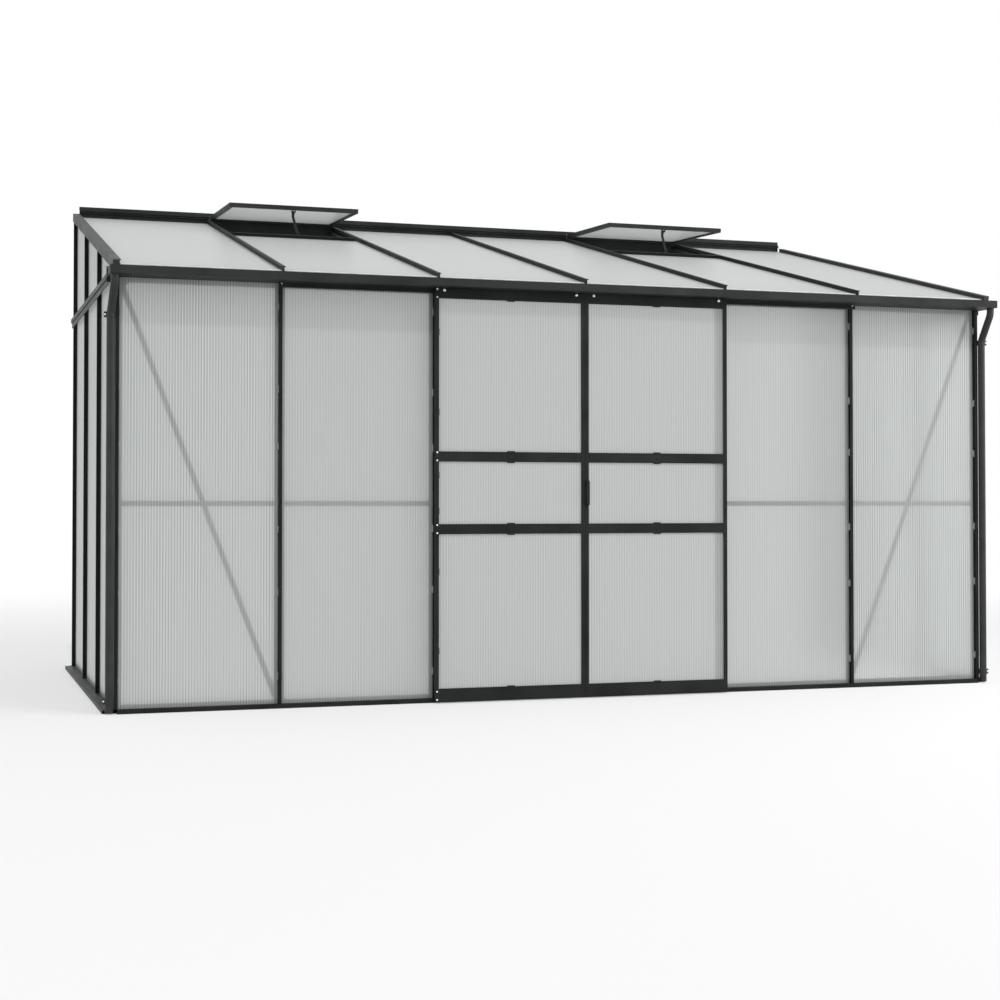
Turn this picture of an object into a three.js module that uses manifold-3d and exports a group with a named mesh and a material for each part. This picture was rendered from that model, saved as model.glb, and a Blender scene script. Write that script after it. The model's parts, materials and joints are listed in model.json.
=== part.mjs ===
// Lean-to greenhouse: aluminium glazing bars, twin-wall sheets, sliding double door and two roof vents.
// Millimetres, +Z up, +X to the right along the front, +Y towards the house wall.
// Inside the root group y = 0 is the outer face of the front glazing bars; the root group then
// moves everything so that the origin is the middle of the footprint on the ground.
import * as THREE from "three";
import { mergeVertices } from "three/addons/utils/BufferGeometryUtils.js";
import Module from "manifold-3d";

const wasm = await Module();
wasm.setup();

// Driving dimensions of the whole greenhouse
const bay = 620; // centre distance of glazing bars along the front and of the rafters
const frontBays = 6;
const doorBays = 2; // bays in the middle that the two doors close
const wallPlane = 1895; // the house wall, measured back from the front glazing bars
const wallBarInset = 45; // from the house wall to the centre of the gable's rear bar
const gableBarShares = [0.3292, 0.6646]; // places of the gable's middle bars, of the rear bar's place
const gutterReach = 108.5; // how far the gutter stands in front of the glazing bars
const gutterOverhang = 37.5; // how far the gutter runs past the corner bars' centres
const eavesUnderside = 1640;
const eavesHeight = 31; // depth of the gutter's front wall
const roofAboveEaves = 71; // from the eaves beam's underside to the rafters' top face, at y = 0
const roofSlope = Math.atan(0.2457);
const rafterOverhang = 67; // how far the rafters' ends stand in front of y = 0
const gap = 0.3; // assembly clearance between neighbouring pieces
const overrun = 5; // how far a cutting solid runs past what it cuts
const farOut = 4000; // beyond every edge of the greenhouse, for large cutting solids
const fuse = 1; // how far pieces that are fused into one reach into each other

// Glazing bar section: an outer head, a web, a flange that the sheet lies on and a bolt channel
const headHalf = 7;
const headThick = 2.5;
const webHalf = 1.5;
const seatDepth = 23.3; // from the head's outer face down to the flange
const flangeHalf = 20;
const flangeThick = 2;
const channelHalf = 9;
const channelWall = 2;
const barDepth = 37;
const slotHalf = 3.5; // mouth of the bolt channel

// Glazing
const sheetThick = 6;
const sheetEdgeGap = 4; // from a sheet's edge to the bar's web
const sheetDepth = seatDepth - gap - sheetThick; // from the head's outer face to the sheet

// Base sills
const sillLip = 16.5;
const sillShelf = 16;
const sillGroove = 12.5;
const sillWall = 2;
const sillUpstand = 30;
const frontSillReach = 14; // how far the front sill stands in front of the bars
const gableSillReach = 27.4; // how far a gable sill stands outside its bars
const gableSillFront = 16; // where the gable sills' outer edge starts, behind the downpipes
const sillRearGap = 4; // the gable sills and rails end this far from the house wall
const gableOut = 21.4; // from the corner bar's centre out to the gable bars' outer face

// Colours as read from the photograph
const colours = {
  frame: 0x2b2d2d,
  post: 0x1f2121,
  pipe: 0x404241,
  sill: 0x4a4c4c,
  sheet: 0xc3c6c5,
  nylon: 0x3a3c3c,
};

function finish(colour, roughness, metalness) {
  return new THREE.MeshStandardMaterial({ color: colour, roughness, metalness });
}
const frameFinish = finish(colours.frame, 0.45, 0.6);
const postFinish = finish(colours.post, 0.45, 0.6);
const pipeFinish = finish(colours.pipe, 0.5, 0.0);
const sillFinish = finish(colours.sill, 0.45, 0.6);
const sheetFinish = finish(colours.sheet, 0.35, 0.0);
const nylonFinish = finish(colours.nylon, 0.6, 0.0);

// Values worked out from the driving dimensions
const frontHalf = (bay * frontBays) / 2; // from the middle to a corner bar's centre
const gutterHalfLength = frontHalf + gutterOverhang;
const roofTop = eavesUnderside + roofAboveEaves;
const wallBarPlace = wallPlane - wallBarInset;
const gableBarPlaces = gableBarShares.map((share) => share * wallBarPlace);
const doorHalf = (bay * doorBays) / 2;
const barFoot = sillShelf + gap;
const barTop = eavesUnderside - gap;
const rise = Math.tan(roofSlope);
const gableFace = frontHalf + gableOut;
const sillInner = barDepth + gap + sillWall;

// Helpers for solids
function solidFrom(geometry) {
  const bare = geometry.clone();
  bare.deleteAttribute("normal");
  bare.deleteAttribute("uv");
  const merged = mergeVertices(bare, 1e-3);
  return new wasm.Manifold(
    new wasm.Mesh({
      numProp: 3,
      vertProperties: new Float32Array(merged.attributes.position.array),
      triVerts: new Uint32Array(merged.index.array),
    }),
  );
}

function geometryFrom(solid) {
  const made = solid.getMesh();
  const geometry = new THREE.BufferGeometry();
  geometry.setAttribute("position", new THREE.BufferAttribute(new Float32Array(made.vertProperties), 3));
  geometry.setIndex(new THREE.BufferAttribute(new Uint32Array(made.triVerts), 1));
  geometry.computeVertexNormals();
  return geometry;
}

function joined(solids) {
  return solids.reduce((sum, one) => sum.add(one));
}

function named(name, geometry, material) {
  const mesh = new THREE.Mesh(geometry, material);
  mesh.name = name;
  return mesh;
}

function box(low, high) {
  const geometry = new THREE.BoxGeometry(high[0] - low[0], high[1] - low[1], high[2] - low[2]);
  geometry.translate((low[0] + high[0]) / 2, (low[1] + high[1]) / 2, (low[2] + high[2]) / 2);
  return geometry;
}

function boxSolid(low, high) {
  return solidFrom(box(low, high));
}

function shapeOf(points, holes = []) {
  const shape = new THREE.Shape(points.map(([a, b]) => new THREE.Vector2(a, b)));
  for (const hole of holes) {
    shape.holes.push(new THREE.Path(hole.map(([a, b]) => new THREE.Vector2(a, b))));
  }
  return shape;
}

function extruded(shape, length, curveSegments = 12) {
  return new THREE.ExtrudeGeometry(shape, { depth: length, bevelEnabled: false, curveSegments });
}

// A section drawn in (x, y), standing up from low to high
function upright(shape, low, high) {
  return extruded(shape, high - low).translate(0, 0, low);
}

// A section drawn in (y, z), running along x from left to right
function alongX(shape, left, right) {
  const turned = new THREE.Matrix4().makeBasis(
    new THREE.Vector3(0, 1, 0),
    new THREE.Vector3(0, 0, 1),
    new THREE.Vector3(1, 0, 0),
  );
  return extruded(shape, right - left).applyMatrix4(turned).translate(left, 0, 0);
}

// A section drawn in (x, z), running along y from front to back
function alongY(shape, front, back) {
  const turned = new THREE.Matrix4().makeBasis(
    new THREE.Vector3(1, 0, 0),
    new THREE.Vector3(0, 0, 1),
    new THREE.Vector3(0, -1, 0),
  );
  return extruded(shape, back - front).applyMatrix4(turned).translate(0, back, 0);
}

// A round bar along x or y
function roundBar(radius, length, axis, sides = 24) {
  const geometry = new THREE.CylinderGeometry(radius, radius, length, sides);
  return axis === "x" ? geometry.rotateZ(Math.PI / 2) : geometry;
}

// The right half of the glazing bar's section, from its outer face inwards
function halfBarSection() {
  const channelTop = seatDepth + flangeThick;
  return [
    [headHalf, 0],
    [headHalf, headThick],
    [webHalf, headThick],
    [webHalf, seatDepth],
    [flangeHalf, seatDepth],
    [flangeHalf, channelTop],
    [channelHalf, channelTop],
    [channelHalf, barDepth],
    [slotHalf, barDepth],
    [slotHalf, barDepth - channelWall],
    [channelHalf - channelWall, barDepth - channelWall],
    [channelHalf - channelWall, channelTop],
  ];
}

function mirrored(half) {
  return [...half, ...half.map(([x, y]) => [-x, y]).reverse()];
}

const barSection = shapeOf(mirrored(halfBarSection()));

const root = new THREE.Group();

// Base sills: an outer lip, a shelf that the bars and sheets stand on, and an inner upstand.
// Drawn with the first coordinate measured inwards from the bars' outer face.
function sillSection(reach) {
  return shapeOf(
    [
      [-reach, 0],
      [sillInner, 0],
      [sillInner, sillUpstand],
      [sillInner - sillWall, sillUpstand],
      [sillInner - sillWall, sillShelf],
      [0, sillShelf],
      [-reach + sillWall, sillGroove],
      [-reach + sillWall, sillLip],
      [-reach, sillLip],
    ],
    [
      [
        [-reach + sillWall, sillWall],
        [-reach + sillWall, sillGroove - sillWall],
        [0, sillShelf - sillWall],
        [sillInner - sillWall, sillShelf - sillWall],
        [sillInner - sillWall, sillWall],
      ],
    ],
  );
}

const sillMeet = 4; // the gable sills' outer part ends this far inside the corner bar's centre

function frontSill() {
  const half = frontHalf - sillMeet - gap;
  const innerHalf = gableFace - sillInner - gap;
  const bar = solidFrom(alongX(sillSection(frontSillReach), -half, half));
  const cuts = [-1, 1].map((side) => {
    const near = side * innerHalf;
    const far = side * (half + overrun);
    const low = [Math.min(near, far), sillInner - sillWall - gap, sillShelf];
    const high = [Math.max(near, far), sillInner + overrun, sillUpstand + overrun];
    return boxSolid(low, high);
  });
  return named("front_sill", geometryFrom(cuts.reduce((sum, cut) => sum.subtract(cut), bar)), sillFinish);
}

// A gable sill is drawn for the left gable and mirrored by turning its section
function gableSill(side, name) {
  const section = sillSection(gableSillReach);
  const outward = alongY(section, gableSillFront, wallPlane - sillRearGap);
  if (side > 0) {
    outward.applyMatrix4(new THREE.Matrix4().makeScale(-1, 1, 1));
    flipFaces(outward);
  }
  outward.translate(side * gableFace, 0, 0);
  const meet = frontHalf - sillMeet;
  const inner = gableFace - sillInner - overrun;
  const low = [Math.min(side * meet, side * inner), gableSillFront - overrun, -overrun];
  const high = [Math.max(side * meet, side * inner), sillInner + gap, sillUpstand + overrun];
  const solid = solidFrom(outward).subtract(boxSolid(low, high));
  return named(name, geometryFrom(solid), sillFinish);
}

// Turns a mirrored geometry's faces outwards again
function flipFaces(geometry) {
  const position = geometry.getAttribute("position");
  for (let i = 0; i < position.count; i += 3) {
    const second = new THREE.Vector3().fromBufferAttribute(position, i + 1);
    const third = new THREE.Vector3().fromBufferAttribute(position, i + 2);
    position.setXYZ(i + 1, third.x, third.y, third.z);
    position.setXYZ(i + 2, second.x, second.y, second.z);
  }
  return geometry;
}

root.add(frontSill(), gableSill(-1, "left_gable_sill"), gableSill(1, "right_gable_sill"));

// Corner posts: a hollow post with one flange for the front sheet and one for the gable's sheet
const postHalf = 7;
const postDepth = 20;
const postWall = 1.8;
const gableLegReach = barDepth; // how far the gable flange reaches back

function cornerPost(side, name) {
  const legOut = -gableOut + seatDepth; // the gable flange's outer face, from the bar's centre
  const legIn = legOut + flangeThick;
  const section = [
    [-postHalf, 0],
    [postHalf, 0],
    [postHalf, postDepth],
    [legIn, postDepth],
    [legIn, seatDepth],
    [flangeHalf, seatDepth],
    [flangeHalf, seatDepth + flangeThick],
    [legIn, seatDepth + flangeThick],
    [legIn, gableLegReach],
    [legOut, gableLegReach],
    [legOut, postDepth],
    [-postHalf, postDepth],
  ];
  const hollow = [
    [-postHalf + postWall, postWall],
    [-postHalf + postWall, postDepth - postWall],
    [postHalf - postWall, postDepth - postWall],
    [postHalf - postWall, postWall],
  ];
  const turn = (list) => (side < 0 ? list : list.map(([x, y]) => [-x, y]).reverse());
  const shape = shapeOf(turn(section), [turn(hollow)]);
  const post = named(name, upright(shape, barFoot, barTop), postFinish);
  post.position.x = side * frontHalf;
  return post;
}

// A front bar stands between the sill's shelf and the eaves beam
function frontBar(name, x) {
  const bar = named(name, upright(barSection, barFoot, barTop), postFinish);
  bar.position.x = x;
  return bar;
}

root.add(
  cornerPost(-1, "left_corner_post"),
  cornerPost(1, "right_corner_post"),
  frontBar("left_front_bar", -frontHalf + bay),
  frontBar("right_front_bar", frontHalf - bay),
  frontBar("left_door_jamb", -doorHalf),
  frontBar("right_door_jamb", doorHalf),
);

// Eaves: one extrusion with the gutter in front and a hollow beam behind, on top of the front bars
const gutterWall = 2;
const beamFront = -22;
const beamBack = sillInner;
const downstand = 18; // bolting flange under the beam, behind the bars
const gutterLip = 5; // the front wall's inturned edge
const beamWall = 2.4; // the hollow beam's walls
const underRafter = (y) => roofTop + rise * y - (barDepth + gap) / Math.cos(roofSlope);

function eavesSection() {
  const floor = eavesUnderside + gutterWall;
  const rim = eavesUnderside + eavesHeight;
  return shapeOf(
    [
      [-gutterReach, eavesUnderside],
      [beamBack - gutterWall, eavesUnderside],
      [beamBack - gutterWall, eavesUnderside - downstand],
      [beamBack, eavesUnderside - downstand],
      [beamBack, underRafter(beamBack)],
      [beamFront, underRafter(beamFront)],
      [beamFront, floor],
      [-gutterReach + gutterWall, floor],
      [-gutterReach + gutterWall, rim - gutterWall],
      [-gutterReach + gutterLip, rim - gutterWall],
      [-gutterReach + gutterLip, rim],
      [-gutterReach, rim],
    ],
    [
      [
        [beamFront + beamWall, eavesUnderside + beamWall],
        [beamFront + beamWall, underRafter(beamFront + beamWall) - beamWall],
        [beamBack - beamWall, underRafter(beamBack - beamWall) - beamWall],
        [beamBack - beamWall, eavesUnderside + beamWall],
      ],
    ],
  );
}

// Door track under the gutter: a web with a turned-up rail that the door wheels run on
const wheelDrop = 8.5; // from the gutter's underside down to the wheels' axles
const wheelRim = 8;
const wheelTread = 6.2;
const railBack = -20.7;
const railThick = 1.6;
const trackWebFront = -12;
const trackWall = 2;
const trackOvershoot = 8;
const trackHalf = doorBays * bay + trackOvershoot;
const wheelZ = eavesUnderside - wheelDrop;
const railTop = wheelZ - wheelTread - gap;
const trackDrop = 2.5; // from the wheels' rims down to the track's underside
const trackFloor = wheelZ - wheelRim - trackDrop;

function trackSection() {
  const railFront = railBack - railThick;
  return shapeOf([
    [railFront, trackFloor],
    [trackWebFront + trackWall, trackFloor],
    [trackWebFront + trackWall, eavesUnderside + fuse],
    [trackWebFront, eavesUnderside + fuse],
    [trackWebFront, trackFloor + trackWall],
    [railBack, trackFloor + trackWall],
    [railBack, railTop],
    [railFront, railTop],
  ]);
}

// Downpipes, whose top ends meet holes in the gutter's floor
const pipeRadius = 15.5;
const pipeWall = 1.6;
const outletInset = 19.5; // from the gutter's end to the outlet's centre
const outletX = gutterHalfLength - outletInset;
const outletY = -84;
const clipWall = 1.8;
const pipeX = frontHalf + postHalf + gap + clipWall + pipeRadius; // just outside the corner post
const pipeY = -3;

function eaves() {
  const rim = eavesUnderside + eavesHeight;
  const parts = [solidFrom(alongX(eavesSection(), -gutterHalfLength, gutterHalfLength))];
  for (const side of [-1, 1]) {
    const out = side * gutterHalfLength;
    const within = side * (gutterHalfLength - gutterWall);
    const low = [Math.min(out, within), -gutterReach, eavesUnderside];
    parts.push(boxSolid(low, [Math.max(out, within), beamFront + fuse, rim]));
  }
  parts.push(solidFrom(alongX(trackSection(), -trackHalf, trackHalf)));
  let solid = joined(parts);
  for (const side of [-1, 1]) {
    const hole = new THREE.CylinderGeometry(pipeRadius - pipeWall, pipeRadius - pipeWall, 2 * overrun, 20);
    hole.rotateX(Math.PI / 2).translate(side * outletX, outletY, eavesUnderside + gutterWall / 2);
    solid = solid.subtract(solidFrom(hole));
  }
  return named("eaves_gutter", geometryFrom(solid), frameFinish);
}
root.add(eaves());

// A downpipe: a swan neck from the gutter back to the corner, a straight fall and two clips
const pipeFoot = 6;
const neckTop = 28; // straight length under the gutter
const neckFoot = 138; // from the gutter's underside to the end of the sloping run
const neckBend = 16; // how much of each run a bend takes up
const lowerClipRise = 49;
const upperClipDrop = 145; // from the gutter's underside
const clipPlaces = [lowerClipRise, eavesUnderside - upperClipDrop];
const clipHeight = 22;
const clipEar = 10;

// A smooth pipe centre line with a short curve at each corner of the swan neck
function pipeCurve(side) {
  const corners = [
    new THREE.Vector3(side * outletX, outletY, eavesUnderside - gap),
    new THREE.Vector3(side * outletX, outletY, eavesUnderside - neckTop),
    new THREE.Vector3(side * pipeX, pipeY, eavesUnderside - neckFoot),
    new THREE.Vector3(side * pipeX, pipeY, pipeFoot),
  ];
  const path = new THREE.CurvePath();
  const towards = (from, to) => from.clone().add(to.clone().sub(from).setLength(neckBend));
  let start = corners[0];
  for (let i = 1; i < corners.length - 1; i++) {
    const into = towards(corners[i], corners[i - 1]);
    const out = towards(corners[i], corners[i + 1]);
    path.add(new THREE.LineCurve3(start, into));
    path.add(new THREE.QuadraticBezierCurve3(into, corners[i], out));
    start = out;
  }
  path.add(new THREE.LineCurve3(start, corners[corners.length - 1]));
  return path;
}

const pipeSides = 16;

// Rings of the pipe's wall, joined into one closed skin with an open bore
function pipeSolid(side) {
  const path = pipeCurve(side);
  const stations = [];
  const bendSteps = 4;
  path.curves.forEach((curve, index) => {
    const steps = curve.isLineCurve3 ? 1 : bendSteps;
    for (let k = index === 0 ? 0 : 1; k <= steps; k++) {
      stations.push({ at: curve.getPoint(k / steps), along: curve.getTangent(k / steps) });
    }
  });
  const places = [];
  const across = new THREE.Vector3(1, 0, 0);
  for (const radius of [pipeRadius, pipeRadius - pipeWall]) {
    for (const { at, along } of stations) {
      const first = across.clone().addScaledVector(along, -across.dot(along)).normalize();
      const second = new THREE.Vector3().crossVectors(along, first);
      for (let s = 0; s < pipeSides; s++) {
        const turn = (2 * Math.PI * s) / pipeSides;
        const point = at.clone();
        point.addScaledVector(first, radius * Math.cos(turn));
        point.addScaledVector(second, radius * Math.sin(turn));
        places.push(point.x, point.y, point.z);
      }
    }
  }
  const rings = stations.length;
  const faces = [];
  const at = (layer, ring, s) => (layer * rings + ring) * pipeSides + (s % pipeSides);
  const quad = (a, b, c, d) => faces.push(a, b, c, a, c, d);
  for (let s = 0; s < pipeSides; s++) {
    for (let ring = 0; ring < rings - 1; ring++) {
      quad(at(0, ring, s), at(0, ring, s + 1), at(0, ring + 1, s + 1), at(0, ring + 1, s));
      quad(at(1, ring, s + 1), at(1, ring, s), at(1, ring + 1, s), at(1, ring + 1, s + 1));
    }
    quad(at(0, 0, s + 1), at(0, 0, s), at(1, 0, s), at(1, 0, s + 1));
    quad(at(0, rings - 1, s), at(0, rings - 1, s + 1), at(1, rings - 1, s + 1), at(1, rings - 1, s));
  }
  const geometry = new THREE.BufferGeometry();
  geometry.setAttribute("position", new THREE.BufferAttribute(new Float32Array(places), 3));
  geometry.setIndex(faces);
  return solidFrom(geometry);
}

// A clip: a band round the pipe with a screw ear on its outer side
function pipeClip(side, z) {
  const band = new THREE.Shape();
  band.absarc(0, 0, pipeRadius + clipWall, 0, 2 * Math.PI, false);
  const bore = new THREE.Path();
  bore.absarc(0, 0, pipeRadius - pipeWall / 2, 0, 2 * Math.PI, true);
  band.holes.push(bore);
  const low = z - clipHeight / 2;
  const high = z + clipHeight / 2;
  const ring = solidFrom(upright(band, low, high));
  const near = side * (pipeRadius - pipeWall / 2);
  const far = side * (pipeRadius + clipEar);
  const ear = [
    [Math.min(near, far), -clipWall, low],
    [Math.max(near, far), clipWall, high],
  ];
  const clip = ring.add(boxSolid(...ear));
  return clip.translate([side * pipeX, pipeY, 0]);
}

function downpipe(side, name) {
  const foot = clipPlaces.map((z) => pipeClip(side, z));
  return named(name, geometryFrom(joined([pipeSolid(side), ...foot])), pipeFinish);
}
root.add(downpipe(-1, "left_downpipe"), downpipe(1, "right_downpipe"));

// Gables: vertical bars cut to the roof slope, standing on the gable sill
// A solid that fills everything above the underside of the end rafters
function aboveRoof() {
  const shape = shapeOf([
    [-farOut, underRafter(-farOut)],
    [farOut, underRafter(farOut)],
    [farOut, farOut],
    [-farOut, farOut],
  ]);
  return solidFrom(alongX(shape, -farOut, farOut));
}
const roofCutter = aboveRoof();

// Turns a section drawn for the front so that its outer face looks out of a gable
function turnedToGable(geometry, side, y) {
  return geometry.rotateZ((side * Math.PI) / 2).translate(side * gableFace, y, 0);
}

function gableBar(side, name, y) {
  const bar = turnedToGable(upright(barSection, barFoot, roofTop + wallPlane), side, y);
  return named(name, geometryFrom(solidFrom(bar).subtract(roofCutter)), postFinish);
}

// The rear gable bar has an angle that is screwed to the house wall
const wallFlangeWidth = 32;
const wallFlangeThick = 2.5;

function wallBar(side, name) {
  const top = roofTop + wallPlane;
  const bar = solidFrom(turnedToGable(upright(barSection, barFoot, top), side, wallBarPlace));
  const legOut = side * (gableFace - seatDepth);
  const legIn = side * (gableFace - seatDepth - flangeThick);
  const lipIn = side * (gableFace - seatDepth - wallFlangeWidth);
  const leg = boxSolid(
    [Math.min(legOut, legIn), wallBarPlace + headHalf, barFoot],
    [Math.max(legOut, legIn), wallPlane, top],
  );
  const lip = boxSolid(
    [Math.min(legOut, lipIn), wallPlane - wallFlangeThick, barFoot],
    [Math.max(legOut, lipIn), wallPlane, top],
  );
  const plateCut = boxSolid(
    [-farOut, plateFront - gap, plateBottom - gap],
    [farOut, wallPlane + overrun, top + overrun],
  );
  const solid = joined([bar, leg, lip]).subtract(roofCutter).subtract(plateCut);
  return named(name, geometryFrom(solid), postFinish);
}

// Wall plate along the house wall, open to the wall, with a hook along it that carries the vents
const plateDepth = 13.3; // how far the plate stands off the house wall
const plateFront = wallPlane - plateDepth;
const plateWall = 2;
const plateLip = 12;
const plateInset = 6.6; // the plate's ends lie this far inside the corner bars' centres
const plateHalf = frontHalf - plateInset;
const hookReach = 25; // from the house wall to the hook's axis
const hookAboveRoof = 9.541; // from the rafters' top face up to the hook's axis
const hookY = wallPlane - hookReach;
const hookZ = roofTop + rise * hookY + hookAboveRoof;
const plateBelowHook = 60;
const plateAboveHook = 26.6;
const plateBottom = hookZ - plateBelowHook;
const plateTop = hookZ + plateAboveHook;
const hookInner = 4.4;
const hookWall = 1.6;
const hookMouth = 55; // half of the hook's open angle, in degrees
const fullTurn = 360;
const hookArm = 2;

// An arc of points about the hook's axis, in degrees from the direction that faces the front
function hookArc(radius, from, to, steps) {
  const points = [];
  for (let k = 0; k <= steps; k++) {
    const turn = ((from + ((to - from) * k) / steps) * Math.PI) / 180;
    points.push([hookY - radius * Math.cos(turn), hookZ + radius * Math.sin(turn)]);
  }
  return points;
}

function wallPlate() {
  const face = shapeOf([
    [plateFront, plateBottom],
    [wallPlane, plateBottom],
    [wallPlane, plateBottom + plateLip],
    [wallPlane - plateWall, plateBottom + plateLip],
    [wallPlane - plateWall, plateBottom + plateWall],
    [plateFront + plateWall, plateBottom + plateWall],
    [plateFront + plateWall, plateTop - plateWall],
    [wallPlane - plateWall, plateTop - plateWall],
    [wallPlane - plateWall, plateTop - plateLip],
    [wallPlane, plateTop - plateLip],
    [wallPlane, plateTop],
    [plateFront, plateTop],
  ]);
  const arcSteps = 14;
  const hook = shapeOf([
    ...hookArc(hookInner, hookMouth, fullTurn - hookMouth, arcSteps),
    ...hookArc(hookInner + hookWall, fullTurn - hookMouth, hookMouth, arcSteps),
  ]);
  const armLow = [-plateHalf, hookY + hookInner + hookWall / 2, hookZ - hookArm / 2];
  const armHigh = [plateHalf, plateFront + fuse, hookZ + hookArm / 2];
  const plate = solidFrom(alongX(face, -plateHalf, plateHalf));
  const rail = solidFrom(alongX(hook, -plateHalf, plateHalf));
  return named("wall_plate", geometryFrom(joined([plate, rail, boxSolid(armLow, armHigh)])), frameFinish);
}
root.add(wallPlate());

// The eaves-height rail across each gable, outside its bars
const gableRailAboveEaves = 28;
const gableRailTop = eavesUnderside + gableRailAboveEaves;
const gableRailHeight = 46;
const gableRailProud = 8;
const gableRailStep = 22;
const gableRailThick = 3;
const gableRailFront = 42;

function gableRail(side, name) {
  const bottom = gableRailTop - gableRailHeight;
  const shoulder = gableRailTop - gableRailStep;
  const out = gableFace + gap;
  const points = [
    [out, bottom],
    [out + gableRailThick, bottom],
    [out + gableRailThick, shoulder],
    [out + gableRailProud, shoulder],
    [out + gableRailProud, gableRailTop - gableRailThick],
    [out + gableRailThick, gableRailTop],
    [out, gableRailTop],
  ];
  const placed = side > 0 ? points : points.map(([x, z]) => [-x, z]).reverse();
  return named(name, alongY(shapeOf(placed), gableRailFront, wallPlane - sillRearGap), sillFinish);
}

for (const [side, word] of [
  [-1, "left"],
  [1, "right"],
]) {
  gableBarPlaces.forEach((y, index) => root.add(gableBar(side, `${word}_gable_bar_${index + 1}`, y)));
  root.add(wallBar(side, `${word}_wall_bar`), gableRail(side, `${word}_gable_rail`));
}

// Roof: a group whose local y runs down through the roof and whose local z runs up the slope
const roof = new THREE.Group();
roof.position.z = roofTop;
roof.rotation.x = roofSlope - Math.PI / 2;
root.add(roof);
const upSlope = (y) => y / Math.cos(roofSlope);
const rafterLow = upSlope(-rafterOverhang);
const rafterHigh = upSlope(plateFront - gap) - barDepth * rise;

// Vent openings: bays counted from the left
const ventBays = [1, 4];
const ventReach = 590; // from a vent's hinge to its lower edge
const ventSillLap = 17; // how far an open vent's lower edge stands in front of its sill
const ventOpening = ventReach - ventSillLap; // from the hook's axis forward to the sill
const ventSillLow = upSlope(hookY - ventOpening);
const ventSillWidth = 16;
const ventSillDepth = 1.4; // below the rafters' top face
const ventSillWall = 2;
const pegReach = 15.5; // ends just short of the stay
const pegRadius = 2.5;
const stayShift = 24; // how far the stay's lower end stands to the right of its upper end

// The cross bar under a vent's lower edge, fused to the rafter that carries it
function ventSillSolid(left, right, pegX) {
  const lowerFlange = seatDepth + flangeThick;
  const shape = shapeOf([
    [ventSillDepth, ventSillLow],
    [ventSillDepth, ventSillLow + ventSillWidth],
    [lowerFlange, ventSillLow + ventSillWidth],
    [lowerFlange, ventSillLow + ventSillWidth - ventSillWall],
    [ventSillDepth + ventSillWall, ventSillLow + ventSillWidth - ventSillWall],
    [ventSillDepth + ventSillWall, ventSillLow],
  ].reverse());
  const pegAt = ventSillLow + ventSillWidth + pegReach / 2 - gap;
  const peg = new THREE.CylinderGeometry(pegRadius, pegRadius, pegReach, 16);
  peg.rotateX(Math.PI / 2).translate(pegX, (ventSillDepth + lowerFlange) / 2, pegAt);
  return solidFrom(alongX(shape, left, right)).add(solidFrom(peg));
}

// Rafter index counts bar lines from the left corner
function rafter(index) {
  const x = -frontHalf + index * bay;
  let solid = solidFrom(upright(barSection, rafterLow, rafterHigh).translate(x, 0, 0));
  for (const ventBay of ventBays) {
    const carrier = ventBay < frontBays / 2 ? ventBay : ventBay + 1;
    if (carrier !== index) continue;
    const bayLeft = -frontHalf + ventBay * bay;
    const rightward = carrier === ventBay;
    const clear = webHalf + gap;
    const left = bayLeft + (rightward ? 0 : flangeHalf + gap);
    const right = bayLeft + bay - (rightward ? flangeHalf + gap : 0);
    const sill = ventSillSolid(left, right, bayLeft + bay / 2 + stayShift);
    const headClear = boxSolid(
      [x - headHalf - clear, -overrun, ventSillLow - overrun],
      [x + headHalf + clear, seatDepth, ventSillLow + ventSillWidth + overrun],
    );
    solid = solid.add(sill.subtract(headClear));
  }
  return named(`rafter_${index}`, geometryFrom(solid), frameFinish);
}
for (let index = 1; index < frontBays; index++) roof.add(rafter(index));

// End rafters: a rafter with a cover and skirt over the tops of the gable's bars, closed in front
const skirtDepth = 38; // just past the tops of the gable's bars and sheets
const skirtThick = 2;

function endRafter(side, name) {
  const out = gableOut + gap + skirtThick;
  const right = halfBarSection();
  const left = [
    [-(channelHalf - channelWall), seatDepth + flangeThick],
    [-(channelHalf - channelWall), barDepth - channelWall],
    [-slotHalf, barDepth - channelWall],
    [-slotHalf, barDepth],
    [-channelHalf, barDepth],
    [-channelHalf, seatDepth],
    [-webHalf, seatDepth],
    [-webHalf, headThick],
    [-out + skirtThick, headThick],
    [-out + skirtThick, skirtDepth],
    [-out, skirtDepth],
    [-out, 0],
  ];
  const points = [...right, ...left];
  const placed = side < 0 ? points : points.map(([x, y]) => [-x, y]).reverse();
  const bar = solidFrom(upright(shapeOf(placed), rafterLow, rafterHigh).translate(side * frontHalf, 0, 0));
  const outer = side * (frontHalf + out);
  const inner = side * frontHalf;
  const cap = boxSolid(
    [Math.min(outer, inner), 0, rafterLow],
    [Math.max(outer, inner), skirtDepth, rafterLow + skirtThick],
  );
  const notchEnd = upSlope(beamBack + gap) + skirtDepth * rise;
  const eavesCut = boxSolid([-farOut, barDepth, rafterLow - overrun], [farOut, farOut, notchEnd]);
  return named(name, geometryFrom(bar.add(cap).subtract(eavesCut)), frameFinish);
}
roof.add(endRafter(-1, "left_end_rafter"), endRafter(1, "right_end_rafter"));

// Front sheets, one in each bay beside the doors
function sheetBetween(name, left, right, low, high) {
  const face = sheetDepth;
  return named(name, box([left, face, low], [right, face + sheetThick, high]), sheetFinish);
}

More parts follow.
